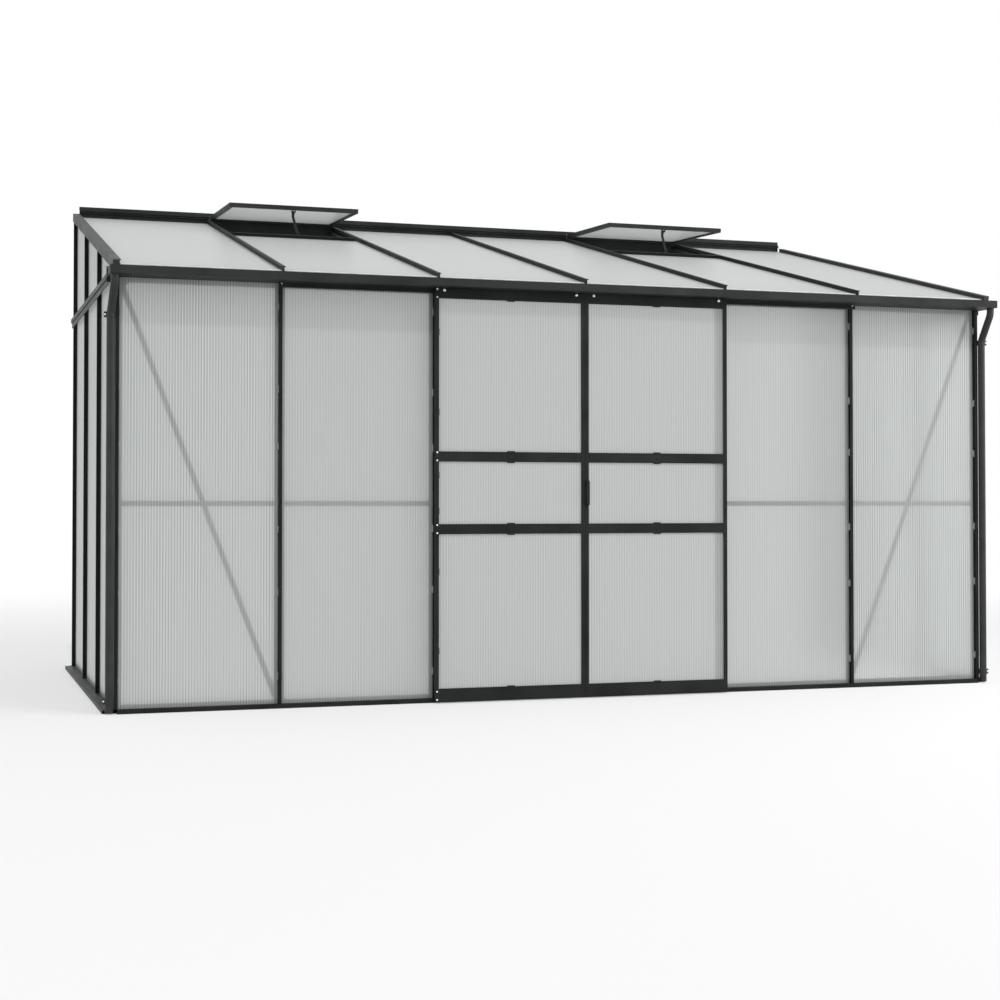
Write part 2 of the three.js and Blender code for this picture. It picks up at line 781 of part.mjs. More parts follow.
const sheetFoot = barFoot;
const sheetTop = barTop;
const sheetIn = webHalf + sheetEdgeGap;
for (let place = 0; place < frontBays; place++) {
  const left = -frontHalf + place * bay;
  const middle = left + bay / 2;
  if (Math.abs(middle) < doorHalf) continue;
  const fromLeft = place === 0 ? postHalf + sheetEdgeGap / 2 : sheetIn;
  const fromRight = place === frontBays - 1 ? postHalf + sheetEdgeGap / 2 : sheetIn;
  const name = `front_sheet_${place + 1}`;
  root.add(sheetBetween(name, left + fromLeft, left + bay - fromRight, sheetFoot, sheetTop));
}

// Roof sheets, shorter where a vent takes the upper part
const sheetOverhang = 55; // the roof sheets' lower edge, in front of y = 0
const sheetHigh = rafterHigh - sheetEdgeGap;
for (let place = 0; place < frontBays; place++) {
  const left = -frontHalf + place * bay + sheetIn;
  const right = -frontHalf + (place + 1) * bay - sheetIn;
  const high = ventBays.includes(place) ? ventSillLow + ventSillWidth - ventSillWall - gap : sheetHigh;
  const low = [left, sheetDepth, upSlope(-sheetOverhang)];
  roof.add(named(`roof_sheet_${place + 1}`, box(low, [right, sheetDepth + sheetThick, high]), sheetFinish));
}

// Gable sheets: one per bay, cut to the roof slope
function gableSheet(side, name, front, back) {
  const behindBeam = Math.max(front, beamBack + gap);
  const underBeam = eavesUnderside - downstand - gap;
  const corner = front < behindBeam ? [[behindBeam, underBeam], [front, underBeam]] : [];
  const shape = shapeOf([
    [front, barFoot],
    [back, barFoot],
    [back, underRafter(back) - gap],
    [behindBeam, underRafter(behindBeam) - gap],
    ...corner,
  ]);
  const out = side * (gableFace - sheetDepth);
  const within = side * (gableFace - sheetDepth - sheetThick);
  return named(name, alongX(shape, Math.min(out, within), Math.max(out, within)), sheetFinish);
}

for (const [side, word] of [
  [-1, "left"],
  [1, "right"],
]) {
  const edges = [postDepth + sheetEdgeGap - sheetIn, ...gableBarPlaces, wallBarPlace];
  for (let k = 0; k + 1 < edges.length; k++) {
    root.add(gableSheet(side, `${word}_gable_sheet_${k + 1}`, edges[k] + sheetIn, edges[k + 1] - sheetIn));
  }
}

// Bracing behind the two outer front bays: a mid rail, a diagonal strap and a corner gusset
const railHeight = 20;
const railCentre = 787;
const braceFront = barDepth + gap;
const braceThick = 3;
const braceWidth = 20;
const braceTopX = 19;
const braceUnderBeam = 6; // from the beam's flange down to the diagonal's end
const braceTopZ = eavesUnderside - downstand - braceUnderBeam;
const braceFootInset = 14; // from the next bar's centre to the diagonal's foot
const braceFootX = bay - braceFootInset;
const braceFootZ = 44;
const gussetSize = 80;
const gussetLap = 16; // how far the gusset reaches down over the diagonal's end

function bracing(side, name) {
  const corner = -frontHalf;
  const braceLeft = corner - gableOut + seatDepth + flangeThick + gap;
  const rail = box(
    [braceLeft, braceFront, railCentre - railHeight / 2],
    [corner + 2 * bay - channelHalf, braceFront + braceThick, railCentre + railHeight / 2],
  );
  const run = Math.hypot(braceFootX - braceTopX, braceTopZ - braceFootZ);
  const lean = Math.atan2(braceFootX - braceTopX, braceTopZ - braceFootZ);
  const strap = new THREE.BoxGeometry(braceWidth, braceThick, run);
  strap.rotateY(-lean);
  strap.translate(
    corner + (braceTopX + braceFootX) / 2,
    braceFront + braceThick / 2,
    (braceTopZ + braceFootZ) / 2,
  );
  const gussetTop = braceTopZ - gussetLap + gussetSize;
  const gusset = alongY(
    shapeOf([
      [braceLeft, gussetTop],
      [braceLeft, gussetTop - gussetSize],
      [braceLeft + braceWidth, gussetTop - gussetSize],
      [braceLeft + gussetSize, gussetTop - braceWidth],
      [braceLeft + gussetSize, gussetTop],
    ]),
    beamBack + gap,
    beamBack + gap + braceThick,
  );
  const left = joined([solidFrom(rail), solidFrom(strap), solidFrom(gusset)]);
  return named(name, geometryFrom(side > 0 ? left.mirror([side, 0, 0]) : left), sillFinish);
}
root.add(bracing(-1, "left_bracing"), bracing(1, "right_bracing"));

// Sliding doors: a frame of two stiles and four rails round one set of sheets
const doorLap = 11; // how far each door laps past its jamb's centre
const doorMeet = 0.5; // half of the gap between the two doors
const doorWidth = doorHalf + doorLap;
const doorFace = -43.5;
const doorThick = 16;
const doorFoot = 3.5;
const doorTopClear = 1.4; // between the doors' tops and the gutter
const doorTop = eavesUnderside - doorTopClear;
const stileWidth = 15;
const doorRailHeight = 40;
const doorRailShares = [0.4184, 0.5936]; // heights of the middle rails' centres, of the door's top
const bottomRailTop = 57.5;
const topRailFoot = doorTop - doorRailHeight;
const doorSheetFront = 6.2; // from the door's face back to the sheets
const doorSheetThick = 6;
const doorSheetEdge = 8; // how far the sheets reach into the stiles
const handleFoot = 780;
const handleLength = 100;
const handleTop = handleFoot + handleLength;
const handleProud = 14;
const handleThick = 4;
const handleWidth = 13;
const handleEnd = 8; // from the handle's ends to its opening
const glideLength = 30;
const glideTop = 28;
const glideLift = 2; // from the sill's groove up to the glides
const glideFoot = sillGroove + glideLift;
const glideBack = -8.8;
const glideClear = 1.2; // between the sill's lip and the slot in a glide
const glideSlotFront = -frontSillReach - glideClear;
const glideSlotBack = -frontSillReach + sillWall + glideClear;
const glideInset = 70;
const wheelInset = 37;
const wheelWidth = 8;
const wheelCentreY = railBack - railThick / 2;
const stubRadius = 3;
const stubCollar = 5;
const stubCollarThick = 1.4;
const grooveWidth = 3.2;

// The wheels stand this far from the middle of the greenhouse, left door first by place
const wheelPlaces = [doorMeet + wheelInset, doorMeet + doorWidth - wheelInset];

function doorFrame(side, name) {
  const back = doorFace + doorThick;
  const inner = side * doorMeet;
  const outer = side * (doorMeet + doorWidth);
  const left = Math.min(inner, outer);
  const right = Math.max(inner, outer);
  const bar = (x0, x1, z0, z1) => boxSolid([x0, doorFace, z0], [x1, back, z1]);
  const railAt = (z) => bar(left, right, z - doorRailHeight / 2, z + doorRailHeight / 2);
  const parts = [
    bar(left, left + stileWidth, doorFoot, doorTop),
    bar(right - stileWidth, right, doorFoot, doorTop),
    bar(left, right, doorFoot, bottomRailTop),
    bar(left, right, topRailFoot, doorTop),
    ...doorRailShares.map((share) => railAt(share * doorTop)),
  ];
  const groove = boxSolid(
    [
      left + stileWidth - doorSheetEdge - gap,
      doorFace + doorSheetFront - gap,
      doorFoot + doorSheetEdge - gap,
    ],
    [
      right - stileWidth + doorSheetEdge + gap,
      doorFace + doorSheetFront + doorSheetThick + gap,
      doorTop - doorSheetEdge + gap,
    ],
  );
  let solid = joined(parts).subtract(groove);
  for (const place of wheelPlaces) {
    const stubEnd = wheelCentreY + wheelWidth / 2 + gap + stubCollarThick;
    const stub = roundBar(stubRadius, stubEnd - back + fuse, "y", 16);
    stub.translate(side * place, (stubEnd + back - fuse) / 2, wheelZ);
    const collar = roundBar(stubCollar, stubCollarThick, "y", 16);
    collar.translate(side * place, stubEnd - stubCollarThick / 2, wheelZ);
    solid = solid.add(solidFrom(stub)).add(solidFrom(collar));
  }
  for (const x of [left + glideInset, right - glideInset]) {
    const blockLow = [x - glideLength / 2, back - fuse, glideFoot];
    const block = boxSolid(blockLow, [x + glideLength / 2, glideBack, glideTop]);
    const slot = boxSolid(
      [x - glideLength, glideSlotFront, glideFoot - overrun],
      [x + glideLength, glideSlotBack, sillLip + glideClear],
    );
    solid = solid.add(block.subtract(slot));
  }
  if (side > 0) solid = solid.add(doorHandle(left + stileWidth / 2));
  return named(name, geometryFrom(solid), frameFinish);
}

// A slim bow handle on the meeting stile
function doorHandle(x) {
  const reach = doorFace - handleProud;
  const bow = shapeOf([
    [doorFace + fuse, handleFoot],
    [doorFace + fuse, handleTop],
    [reach + handleThick, handleTop],
    [reach, handleTop - handleThick],
    [reach, handleFoot + handleThick],
    [reach + handleThick, handleFoot],
  ].reverse());
  const inside = shapeOf([
    [doorFace, handleFoot + handleEnd],
    [doorFace, handleTop - handleEnd],
    [reach + handleThick, handleTop - handleEnd],
    [reach + handleThick, handleFoot + handleEnd],
  ].reverse());
  const half = handleWidth / 2;
  const outer = solidFrom(alongX(bow, x - half, x + half));
  return outer.subtract(solidFrom(alongX(inside, x - stileWidth, x + stileWidth)));
}

function doorSheets(side, name) {
  const inner = side * doorMeet;
  const outer = side * (doorMeet + doorWidth);
  const left = Math.min(inner, outer) + stileWidth - doorSheetEdge;
  const right = Math.max(inner, outer) - stileWidth + doorSheetEdge;
  const front = doorFace + doorSheetFront;
  const low = [left, front, doorFoot + doorSheetEdge];
  return named(name, box(low, [right, front + doorSheetThick, doorTop - doorSheetEdge]), sheetFinish);
}

// A grooved wheel with a bore, turned about its own axis and laid along y
function doorWheel(name, x) {
  const bore = stubRadius + gap;
  const flange = (wheelWidth - grooveWidth) / 2;
  const half = wheelWidth / 2;
  const profile = [
    [bore, -half],
    [wheelRim, -half],
    [wheelRim, -half + flange / 2],
    [wheelTread, -half + flange],
    [wheelTread, half - flange],
    [wheelRim, half - flange / 2],
    [wheelRim, half],
    [bore, half],
    [bore, -half],
  ].map(([r, z]) => new THREE.Vector2(r, z));
  const wheel = new THREE.LatheGeometry(profile, 28);
  const mesh = named(name, wheel, nylonFinish);
  mesh.position.set(x, wheelCentreY, wheelZ);
  return mesh;
}

for (const [side, word] of [
  [-1, "left"],
  [1, "right"],
]) {
  root.add(doorFrame(side, `${word}_door_frame`), doorSheets(side, `${word}_door_sheets`));
  wheelPlaces.forEach((place, index) => {
    root.add(doorWheel(`${word}_door_wheel_${index + 1}`, side * place));
  });
}

// Roof vents: a frame hung by a bead in the wall plate's hook, with one sheet and one stay
const ventInset = 9; // from a rafter's centre to the vent's side
const ventHalf = bay / 2 - ventInset;
const ventBarWidth = 16;
const ventHalfThick = 10;
const ventTopBar = 8; // from the hinge to the frame's top bar
const beadRadius = 3.6;
const neckThick = 2;
const ventRest = (2.7 * Math.PI) / 180; // the open vent's slope as the photograph shows it
const ventSheetEdge = 8;
const hookEndClear = 2;
const lugHalf = 9;
const lugWall = 2.5;
const lugRadius = 6;
const stayPivotInset = 34; // from the vent's lower edge to the stay's pin
const stayPivotAlong = ventReach - stayPivotInset;
const stayPivotDrop = 16;
const stayPinRadius = 2.5;

function ventFrame(name) {
  const top = -ventTopBar;
  const foot = -ventReach;
  const bar = (x0, y0, x1, y1) => boxSolid([x0, y0, -ventHalfThick], [x1, y1, ventHalfThick]);
  const parts = [
    bar(-ventHalf, foot, -ventHalf + ventBarWidth, top),
    bar(ventHalf - ventBarWidth, foot, ventHalf, top),
    bar(-ventHalf, foot, ventHalf, foot + ventBarWidth),
    bar(-ventHalf, top - ventBarWidth, ventHalf, top),
  ];
  const groove = boxSolid(
    [-ventHalf + ventBarWidth - ventSheetEdge - gap, foot + ventSheetEdge - gap, -sheetThick / 2 - gap],
    [ventHalf - ventBarWidth + ventSheetEdge + gap, top - ventSheetEdge + gap, sheetThick / 2 + gap],
  );
  const neck = boxSolid(
    [-ventHalf + hookEndClear, top - neckThick, -neckThick / 2],
    [ventHalf - hookEndClear, 0, neckThick / 2],
  );
  const bead = solidFrom(roundBar(beadRadius, 2 * (ventHalf - hookEndClear), "x", 16));
  const frame = joined(parts).subtract(groove);
  return named(name, geometryFrom(joined([frame, neck, bead, stayLug()])), frameFinish);
}

// Two ears and a pin under the vent, joined to the lower bar, that the stay swings on
function stayLug() {
  const y = -stayPivotAlong;
  const z = -stayPivotDrop;
  const foot = -ventReach + ventBarWidth;
  const pieces = [-1, 1].map((side) => {
    const out = side * lugHalf;
    const within = side * (lugHalf - lugWall);
    const ear = shapeOf([
      [foot - fuse, -ventHalfThick],
      [foot - fuse, -sheetThick / 2 - fuse],
      [foot + lugWall, -sheetThick / 2 - fuse],
      [y + lugRadius, z],
      [y + lugRadius / 2, z - lugRadius],
      [y - lugRadius, z - lugRadius / 2],
    ].reverse());
    return solidFrom(alongX(ear, Math.min(out, within), Math.max(out, within)));
  });
  const pin = roundBar(stayPinRadius, 2 * lugHalf, "x", 16);
  pin.translate(0, y, z);
  return joined([...pieces, solidFrom(pin)]);
}

function ventSheet(name) {
  const low = [-ventHalf + ventBarWidth - ventSheetEdge, -ventReach + ventSheetEdge, -sheetThick / 2];
  const high = [ventHalf - ventBarWidth + ventSheetEdge, -ventTopBar - ventSheetEdge, sheetThick / 2];
  return named(name, box(low, high), sheetFinish);
}

// The stay: a perforated strap with a rolled eye, hanging from the vent past the sill's peg
const stayWidth = 12;
const stayThick = 3;
const stayLength = 165;
const stayHoleRadius = 3;
const stayHolePitch = 22;
const stayHoles = 3;
const eyeRadius = 5.5;
const stayBendStart = 22; // from the pivot to where the strap turns aside
const stayBendEnd = 96;
const stayFootBack = 12.7; // at rest the strap leans back this much
const stayFootDrop = 104; // over this much of its length
const stayLean = Math.atan2(stayFootBack, stayFootDrop);

function ventStay(name) {
  const half = stayWidth / 2;
  const strap = shapeOf([
    [-half, 0],
    [half, 0],
    [half, -stayBendStart],
    [half + stayShift, -stayBendEnd],
    [half + stayShift, -stayLength + half],
    [half / 2 + stayShift, -stayLength],
    [-half / 2 + stayShift, -stayLength],
    [-half + stayShift, -stayLength + half],
    [-half + stayShift, -stayBendEnd],
    [-half, -stayBendStart],
  ].reverse());
  for (let k = 0; k < stayHoles; k++) {
    const hole = new THREE.Path();
    hole.absarc(stayShift, -stayBendEnd - half - k * stayHolePitch, stayHoleRadius, 0, 2 * Math.PI, true);
    strap.holes.push(hole);
  }
  const plate = alongY(strap, eyeRadius - stayThick, eyeRadius);
  const eye = solidFrom(roundBar(eyeRadius, stayWidth, "x", 20));
  const bore = solidFrom(roundBar(stayPinRadius + gap, stayWidth + overrun, "x", 20));
  const solid = solidFrom(plate).add(eye).subtract(bore);
  return named(name, geometryFrom(solid), frameFinish);
}

ventBays.forEach((ventBay, index) => {
  const word = index === 0 ? "left" : "right";
  const vent = new THREE.Group();
  vent.position.set(-frontHalf + (ventBay + 0.5) * bay, hookY, hookZ);
  vent.rotation.x = ventRest;
  const stay = ventStay(`${word}_vent_stay`);
  stay.position.set(0, -stayPivotAlong, -stayPivotDrop);
  stay.rotation.x = stayLean - ventRest;
  vent.add(ventFrame(`${word}_vent_frame`), ventSheet(`${word}_vent_sheet`), stay);
  root.add(vent);
});

// The origin is the middle of the footprint: the gutter's front and the wall are the ends in y
root.position.y = (gutterReach - wallPlane) / 2;

const group = new THREE.Group();
group.add(root);
export default group;
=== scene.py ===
# Lean-to greenhouse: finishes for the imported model, the small hardware that it leaves out, and a studio.
# Sizes are written in millimetres and turned to metres by mm(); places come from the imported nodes.
import json
import math

import bmesh
import bpy
from mathutils import Matrix, Vector


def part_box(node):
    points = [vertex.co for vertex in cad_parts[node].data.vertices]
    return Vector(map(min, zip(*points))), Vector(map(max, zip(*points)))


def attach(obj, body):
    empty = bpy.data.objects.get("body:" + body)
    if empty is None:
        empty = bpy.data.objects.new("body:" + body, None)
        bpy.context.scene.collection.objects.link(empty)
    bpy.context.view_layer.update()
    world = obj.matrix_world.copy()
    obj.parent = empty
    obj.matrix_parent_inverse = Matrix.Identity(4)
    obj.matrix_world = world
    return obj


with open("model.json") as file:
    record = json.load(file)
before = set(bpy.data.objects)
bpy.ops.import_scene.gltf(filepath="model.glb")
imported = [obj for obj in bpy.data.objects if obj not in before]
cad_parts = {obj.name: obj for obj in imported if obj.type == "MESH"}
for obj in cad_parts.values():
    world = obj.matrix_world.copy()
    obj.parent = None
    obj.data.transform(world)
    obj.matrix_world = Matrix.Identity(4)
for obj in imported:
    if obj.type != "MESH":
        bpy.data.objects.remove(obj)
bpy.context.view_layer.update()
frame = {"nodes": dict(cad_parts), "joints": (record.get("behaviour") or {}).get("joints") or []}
nodes = frame["nodes"]


def mm(length):
    return length / 1000


def stand(name, data):
    """A new object in the scene that holds a mesh, a lamp or a camera."""
    thing = bpy.data.objects.new(name, data)
    bpy.context.scene.collection.objects.link(thing)
    return thing


# Driving dimensions, in millimetres. The rise is the roof's height gained for each millimetre inward.
BAY = 620
BAYS = 6
HEAD_HALF = 7
HEAD_THICK = 2.5
SHEET_DEPTH = 17
SHEET_THICK = 6
PART_GAP = 0.3
ROOF_RISE = 0.2457
ROOF_LIFT = 71
ROOF_SLOPE = math.atan(ROOF_RISE)
SIDES = (("left", -1), ("right", 1))

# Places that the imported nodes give, in metres
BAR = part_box("left_front_bar")
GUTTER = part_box("eaves_gutter")
FRONT_Y = BAR[0].y
DOOR_FACE_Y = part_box("left_door_frame")[0].y
EAVES = BAR[1].z + mm(PART_GAP)
ROOF_TOP = EAVES + mm(ROOF_LIFT)

# Directions: out of the front, into the greenhouse, up the roof and in from the roof's outer face
OUTWARD = (0, -1, 0)
INWARD = (0, 1, 0)
ROOF_UP = Vector((0, math.cos(ROOF_SLOPE), math.sin(ROOF_SLOPE)))
ROOF_IN = Vector((0, math.sin(ROOF_SLOPE), -math.cos(ROOF_SLOPE)))

# Colours as read from the photograph, in sRGB
CHARCOAL_POWDER = "2A2C2C"
# A paler grey copy of the frame's coat; on the end rafters, gable rails and gable sills it is painted
# light, for the light that falls on them from the left
BLACK_POWDER = "191B1B"
GREY_AND_LIT_POWDER = "3C3E3E"
DOOR_POWDER = "1F2020"
PIPE_PVC = "303231"
# Each sheet's colours: behind a rib, between ribs, and where a rib catches the light
FRONT_SHEET = ("9DA1A0", "BFC2C1", "D5D8D7")
INNER_SHEET = ("9A9E9D", "BCBFBE", "D2D5D4")
# The two right-hand sheets are paler copies of the others: painted light, for the brighter light on the
# right
LIT_FAR_INNER_SHEET = ("9EA2A1", "C0C3C2", "D6D9D8")
LIT_FAR_OUTER_SHEET = ("AEB2B1", "D0D3D2", "E6E8E7")
GABLE_SHEET = ("A6AAA9", "C4C7C6", "D4D7D6")
ROOF_SHEET = ("A9ADAC", "BEC1C0", "CED1D0")
NYLON = "3A3C3C"
ZINC = "E4E7E7"
SPRING_STEEL = "7C8080"
STRAP_GREY = "858989"
STRIP_MILK = "E2E4E3"
NATURAL_NYLON = "E4E4DE"
CLIP_BLACK = "1C1E1E"
FLOOR = "E2E2E2"

# Sizes of the patterns in the finishes, in millimetres
ORANGE_PEEL = 3
DUST_CLOUD = 180
PASSIVATION_CLOUD = 6
RIB_PITCH = 11
STRIP_ACROSS = 45
STRIP_ALONG = 700
PIPE_MOTTLE = 60
STRIP_MOTTLE = 30
CLIP_MOTTLE = 10
NYLON_MOTTLE = 8

# The powder coat's roughness, and how much paler the dust and darker the worn places on it are
POWDER_ROUGHNESS = 0.48
DUST_GAIN = 1.28
DUST_LIFT = 0.004
WORN_GAIN = 0.82

# How much moulded plastic's patches differ from its colour
DARK_MOTTLE_GAIN = 0.86
PALE_MOTTLE_GAIN = 1.15

# The sheets' skin, and the haze that scatters what shows through them
SKIN_ROUGHNESS = 0.34
POLYCARBONATE_IOR = 1.58
HAZE_ROUGHNESS = 0.55
HAZE_IOR = 1.3


def linear(code):
    """An sRGB hex value as the linear colour that Blender's sockets take."""
    shades = []
    for digit in (0, 2, 4):
        share = int(code[digit : digit + 2], 16) / 255
        shades.append(share / 12.92 if share <= 0.04045 else ((share + 0.055) / 1.055) ** 2.4)
    return (*shades, 1.0)


def add(tree, kind, settings=None, links=None):
    """One node, with its settings and the sockets that feed it."""
    made = tree.nodes.new(kind)
    for key, value in (settings or {}).items():
        if isinstance(key, int) or key in made.inputs:
            made.inputs[key].default_value = value
        else:
            setattr(made, key, value)
    for key, source in (links or {}).items():
        tree.links.new(source, made.inputs[key])
    return made


def new_material(name):
    material = bpy.data.materials.new(name)
    material.use_nodes = True
    material.node_tree.nodes.clear()
    return material


def shaded(base, gain, lift=0.0):
    """A linear colour made darker or paler."""
    return (*(shade * gain + lift for shade in base[:3]), 1.0)


# Powder-coated aluminium: an even satin film with a fine orange-peel texture and faint handling marks
def powder_coated_aluminium(name, code):
    material = new_material(name)
    tree = material.node_tree
    place = add(tree, "ShaderNodeTexCoord")
    # Real orange peel is about 1 mm; 3 mm is the finest that still shows in the render
    peel = add(
        tree,
        "ShaderNodeTexNoise",
        {"Scale": 1000 / ORANGE_PEEL, "Detail": 2.0},
        {"Vector": place.outputs["Object"]},
    )
    # Cloudy dust and rain marks
    cloud = add(
        tree,
        "ShaderNodeTexNoise",
        {"Scale": 1000 / DUST_CLOUD, "Detail": 4.0},
        {"Vector": place.outputs["Object"]},
    )
    base = linear(code)
    tone = add(tree, "ShaderNodeValToRGB", links={"Fac": cloud.outputs["Fac"]})
    worn, dusty = tone.color_ramp.elements
    worn.position, worn.color = 0.3, shaded(base, WORN_GAIN)
    dusty.position, dusty.color = 0.72, shaded(base, DUST_GAIN, DUST_LIFT)
    gloss = add(
        tree,
        "ShaderNodeMapRange",
        {
            "From Min": 0.3,
            "From Max": 0.7,
            "To Min": POWDER_ROUGHNESS - 0.07,
            "To Max": POWDER_ROUGHNESS + 0.1,
        },
        {"Value": cloud.outputs["Fac"]},
    )
    bump = add(
        tree,
        "ShaderNodeBump",
        {"Strength": 0.12, "Distance": mm(0.15)},
        {"Height": peel.outputs["Fac"]},
    )
    coat = add(
        tree,
        "ShaderNodeBsdfPrincipled",
        {"IOR": 1.5, "Specular IOR Level": 0.08},
        {
            "Base Color": tone.outputs["Color"],
            "Roughness": gloss.outputs["Result"],
            "Normal": bump.outputs["Normal"],
        },
    )
    add(tree, "ShaderNodeOutputMaterial", links={"Surface": coat.outputs["BSDF"]})
    return material


# Extruded twin-wall polycarbonate: milky, with ribs between its two skins. Things close behind it show
# through as soft grey shapes, because its haze scatters light by a few degrees, and far things are lost.
def twin_wall_polycarbonate(name, across, codes, rib_show, glow_share, haze_share):
    shade_code, milk_code, light_code = codes
    material = new_material(name)
    tree = material.node_tree
    place = add(tree, "ShaderNodeTexCoord")
    split = add(tree, "ShaderNodeSeparateXYZ", links={0: place.outputs["Object"]})
    run = split.outputs[across.upper()]
    # The ribs stand at the pitch that was counted in the photograph
    turn = add(
        tree,
        "ShaderNodeMath",
        {"operation": "MULTIPLY", 1: 2 * math.pi / mm(RIB_PITCH)},
        {0: run},
    )
    wave = add(tree, "ShaderNodeMath", {"operation": "SINE"}, {0: turn.outputs[0]})
    rib = add(
        tree,
        "ShaderNodeMapRange",
        {"From Min": -1.0, "From Max": 1.0},
        {"Value": wave.outputs[0]},
    )
    # Painted shade behind each rib and a painted highlight where it catches the light, with the milky
    # colour between
    ribs = add(tree, "ShaderNodeValToRGB", links={"Fac": rib.outputs["Result"]})
    shade, light = ribs.color_ramp.elements
    shade.position, shade.color = 0.02, linear(shade_code)
    light.position, light.color = 0.98, linear(light_code)
    for position in (0.34, 0.7):
        ribs.color_ramp.elements.new(position).color = linear(milk_code)
    # Ribs show strongly in some long strips of a sheet and hardly in others
    wide, long = 1000 / STRIP_ACROSS, 1000 / STRIP_ALONG
    stretch = (wide, long, long) if across == "x" else (long, wide, long)
    strips = add(tree, "ShaderNodeMapping", {"Scale": stretch}, {"Vector": place.outputs["Object"]})
    strength = add(
        tree,
        "ShaderNodeTexNoise",
        {"Scale": 1.0, "Detail": 3.0, "Roughness": 0.6},
        {"Vector": strips.outputs["Vector"]},
    )
    share = add(
        tree,
        "ShaderNodeMapRange",
        {"From Min": 0.34, "From Max": 0.66, "To Min": 0.25 * rib_show, "To Max": rib_show},
        {"Value": strength.outputs["Fac"]},
    )
    colour = add(
        tree,
        "ShaderNodeMix",
        {"data_type": "RGBA", 6: linear(milk_code)},
        {0: share.outputs["Result"], 7: ribs.outputs["Color"]},
    )
    bump = add(
        tree,
        "ShaderNodeBump",
        {"Strength": 0.35 * rib_show, "Distance": mm(0.4)},
        {"Height": rib.outputs["Result"]},
    )
    skin = add(
        tree,
        "ShaderNodeBsdfPrincipled",
        {"Roughness": SKIN_ROUGHNESS, "IOR": POLYCARBONATE_IOR},
        {"Base Color": colour.outputs[2], "Normal": bump.outputs["Normal"]},
    )
    glow = add(tree, "ShaderNodeBsdfTranslucent", links={"Color": colour.outputs[2]})
    milk = add(
        tree,
        "ShaderNodeMixShader",
        {0: glow_share},
        {1: skin.outputs["BSDF"], 2: glow.outputs["BSDF"]},
    )
    haze = add(
        tree,
        "ShaderNodeBsdfRefraction",
        {"Roughness": HAZE_ROUGHNESS, "IOR": HAZE_IOR},
        {"Color": colour.outputs[2]},
    )
    sheet = add(
        tree,
        "ShaderNodeMixShader",
        {0: haze_share},
        {1: milk.outputs[0], 2: haze.outputs[0]},
    )
    clear = add(tree, "ShaderNodeBsdfTransparent")
    # The far skin, seen from within the sheet, adds nothing: the near one stands for both
    side = add(tree, "ShaderNodeNewGeometry")
    both = add(
        tree,
        "ShaderNodeMixShader",
        links={0: side.outputs["Backfacing"], 1: sheet.outputs[0], 2: clear.outputs[0]},
    )
    add(tree, "ShaderNodeOutputMaterial", links={"Surface": both.outputs[0]})
    return material


# Moulded or extruded plastic: even colour, soft gloss, a little mottled in patches of the given size
def moulded_plastic(name, code, roughness, patch):
    material = new_material(name)
    tree = material.node_tree
    place = add(tree, "ShaderNodeTexCoord")
    mottle = add(
        tree,
        "ShaderNodeTexNoise",
        {"Scale": 1000 / patch, "Detail": 3.0},
        {"Vector": place.outputs["Object"]},
    )
    base = linear(code)
    tone = add(tree, "ShaderNodeValToRGB", links={"Fac": mottle.outputs["Fac"]})
    dark, pale = tone.color_ramp.elements
    dark.position, dark.color = 0.3, shaded(base, DARK_MOTTLE_GAIN)
    pale.position, pale.color = 0.7, shaded(base, PALE_MOTTLE_GAIN)
    bump = add(
        tree,
        "ShaderNodeBump",
        {"Strength": 0.08, "Distance": mm(0.2)},
        {"Height": mottle.outputs["Fac"]},
    )
    body = add(
        tree,
        "ShaderNodeBsdfPrincipled",
        {"Roughness": roughness, "IOR": 1.5, "Specular IOR Level": 0.15},
        {"Base Color": tone.outputs["Color"], "Normal": bump.outputs["Normal"]},
    )
    add(tree, "ShaderNodeOutputMaterial", links={"Surface": body.outputs["BSDF"]})
    return material


# Zinc-plated steel: bright, faintly clouded by its passivation. Spring steel that is passivated in the same
# way is duller, so that less of the bare metal's shine shows.
def zinc_plated_steel(name, code, roughness, metal_share=0.7):
    material = new_material(name)
    tree = material.node_tree
    place = add(tree, "ShaderNodeTexCoord")
    cloud = add(
        tree,
        "ShaderNodeTexNoise",
        {"Scale": 1000 / PASSIVATION_CLOUD, "Detail": 3.0},
        {"Vector": place.outputs["Object"]},
    )
    gloss = add(
        tree,
        "ShaderNodeMapRange",
        {"From Min": 0.3, "From Max": 0.7, "To Min": roughness, "To Max": roughness + 0.18},
        {"Value": cloud.outputs["Fac"]},
    )
    metal = add(
        tree,
        "ShaderNodeBsdfPrincipled",
        {"Base Color": linear(code), "Metallic": metal_share},
        {"Roughness": gloss.outputs["Result"]},
    )
    add(tree, "ShaderNodeOutputMaterial", links={"Surface": metal.outputs["BSDF"]})
    return material


charcoal = powder_coated_aluminium("charcoal_powder_coated_aluminium", CHARCOAL_POWDER)
black = powder_coated_aluminium("black_powder_coated_aluminium", BLACK_POWDER)
grey_and_lit_coat = powder_coated_aluminium("grey_and_lit_powder_coated_aluminium", GREY_AND_LIT_POWDER)
door_coat = powder_coated_aluminium("door_powder_coated_aluminium", DOOR_POWDER)
pipe_plastic = moulded_plastic("pvc_downpipe", PIPE_PVC, 0.42, PIPE_MOTTLE)
nylon = moulded_plastic("moulded_nylon", NYLON, 0.5, NYLON_MOTTLE)
clip_plastic = moulded_plastic("moulded_clip_plastic", CLIP_BLACK, 0.5, CLIP_MOTTLE)
milky_plastic = moulded_plastic("milky_edge_strip", STRIP_MILK, 0.35, STRIP_MOTTLE)
nylon_white = moulded_plastic("natural_nylon", NATURAL_NYLON, 0.45, NYLON_MOTTLE)
zinc = zinc_plated_steel("zinc_plated_steel", ZINC, 0.24)
strap_steel = zinc_plated_steel("passivated_spring_steel", STRAP_GREY, 0.5, 0.15)
clip_steel = zinc_plated_steel("dull_spring_steel", SPRING_STEEL, 0.45)
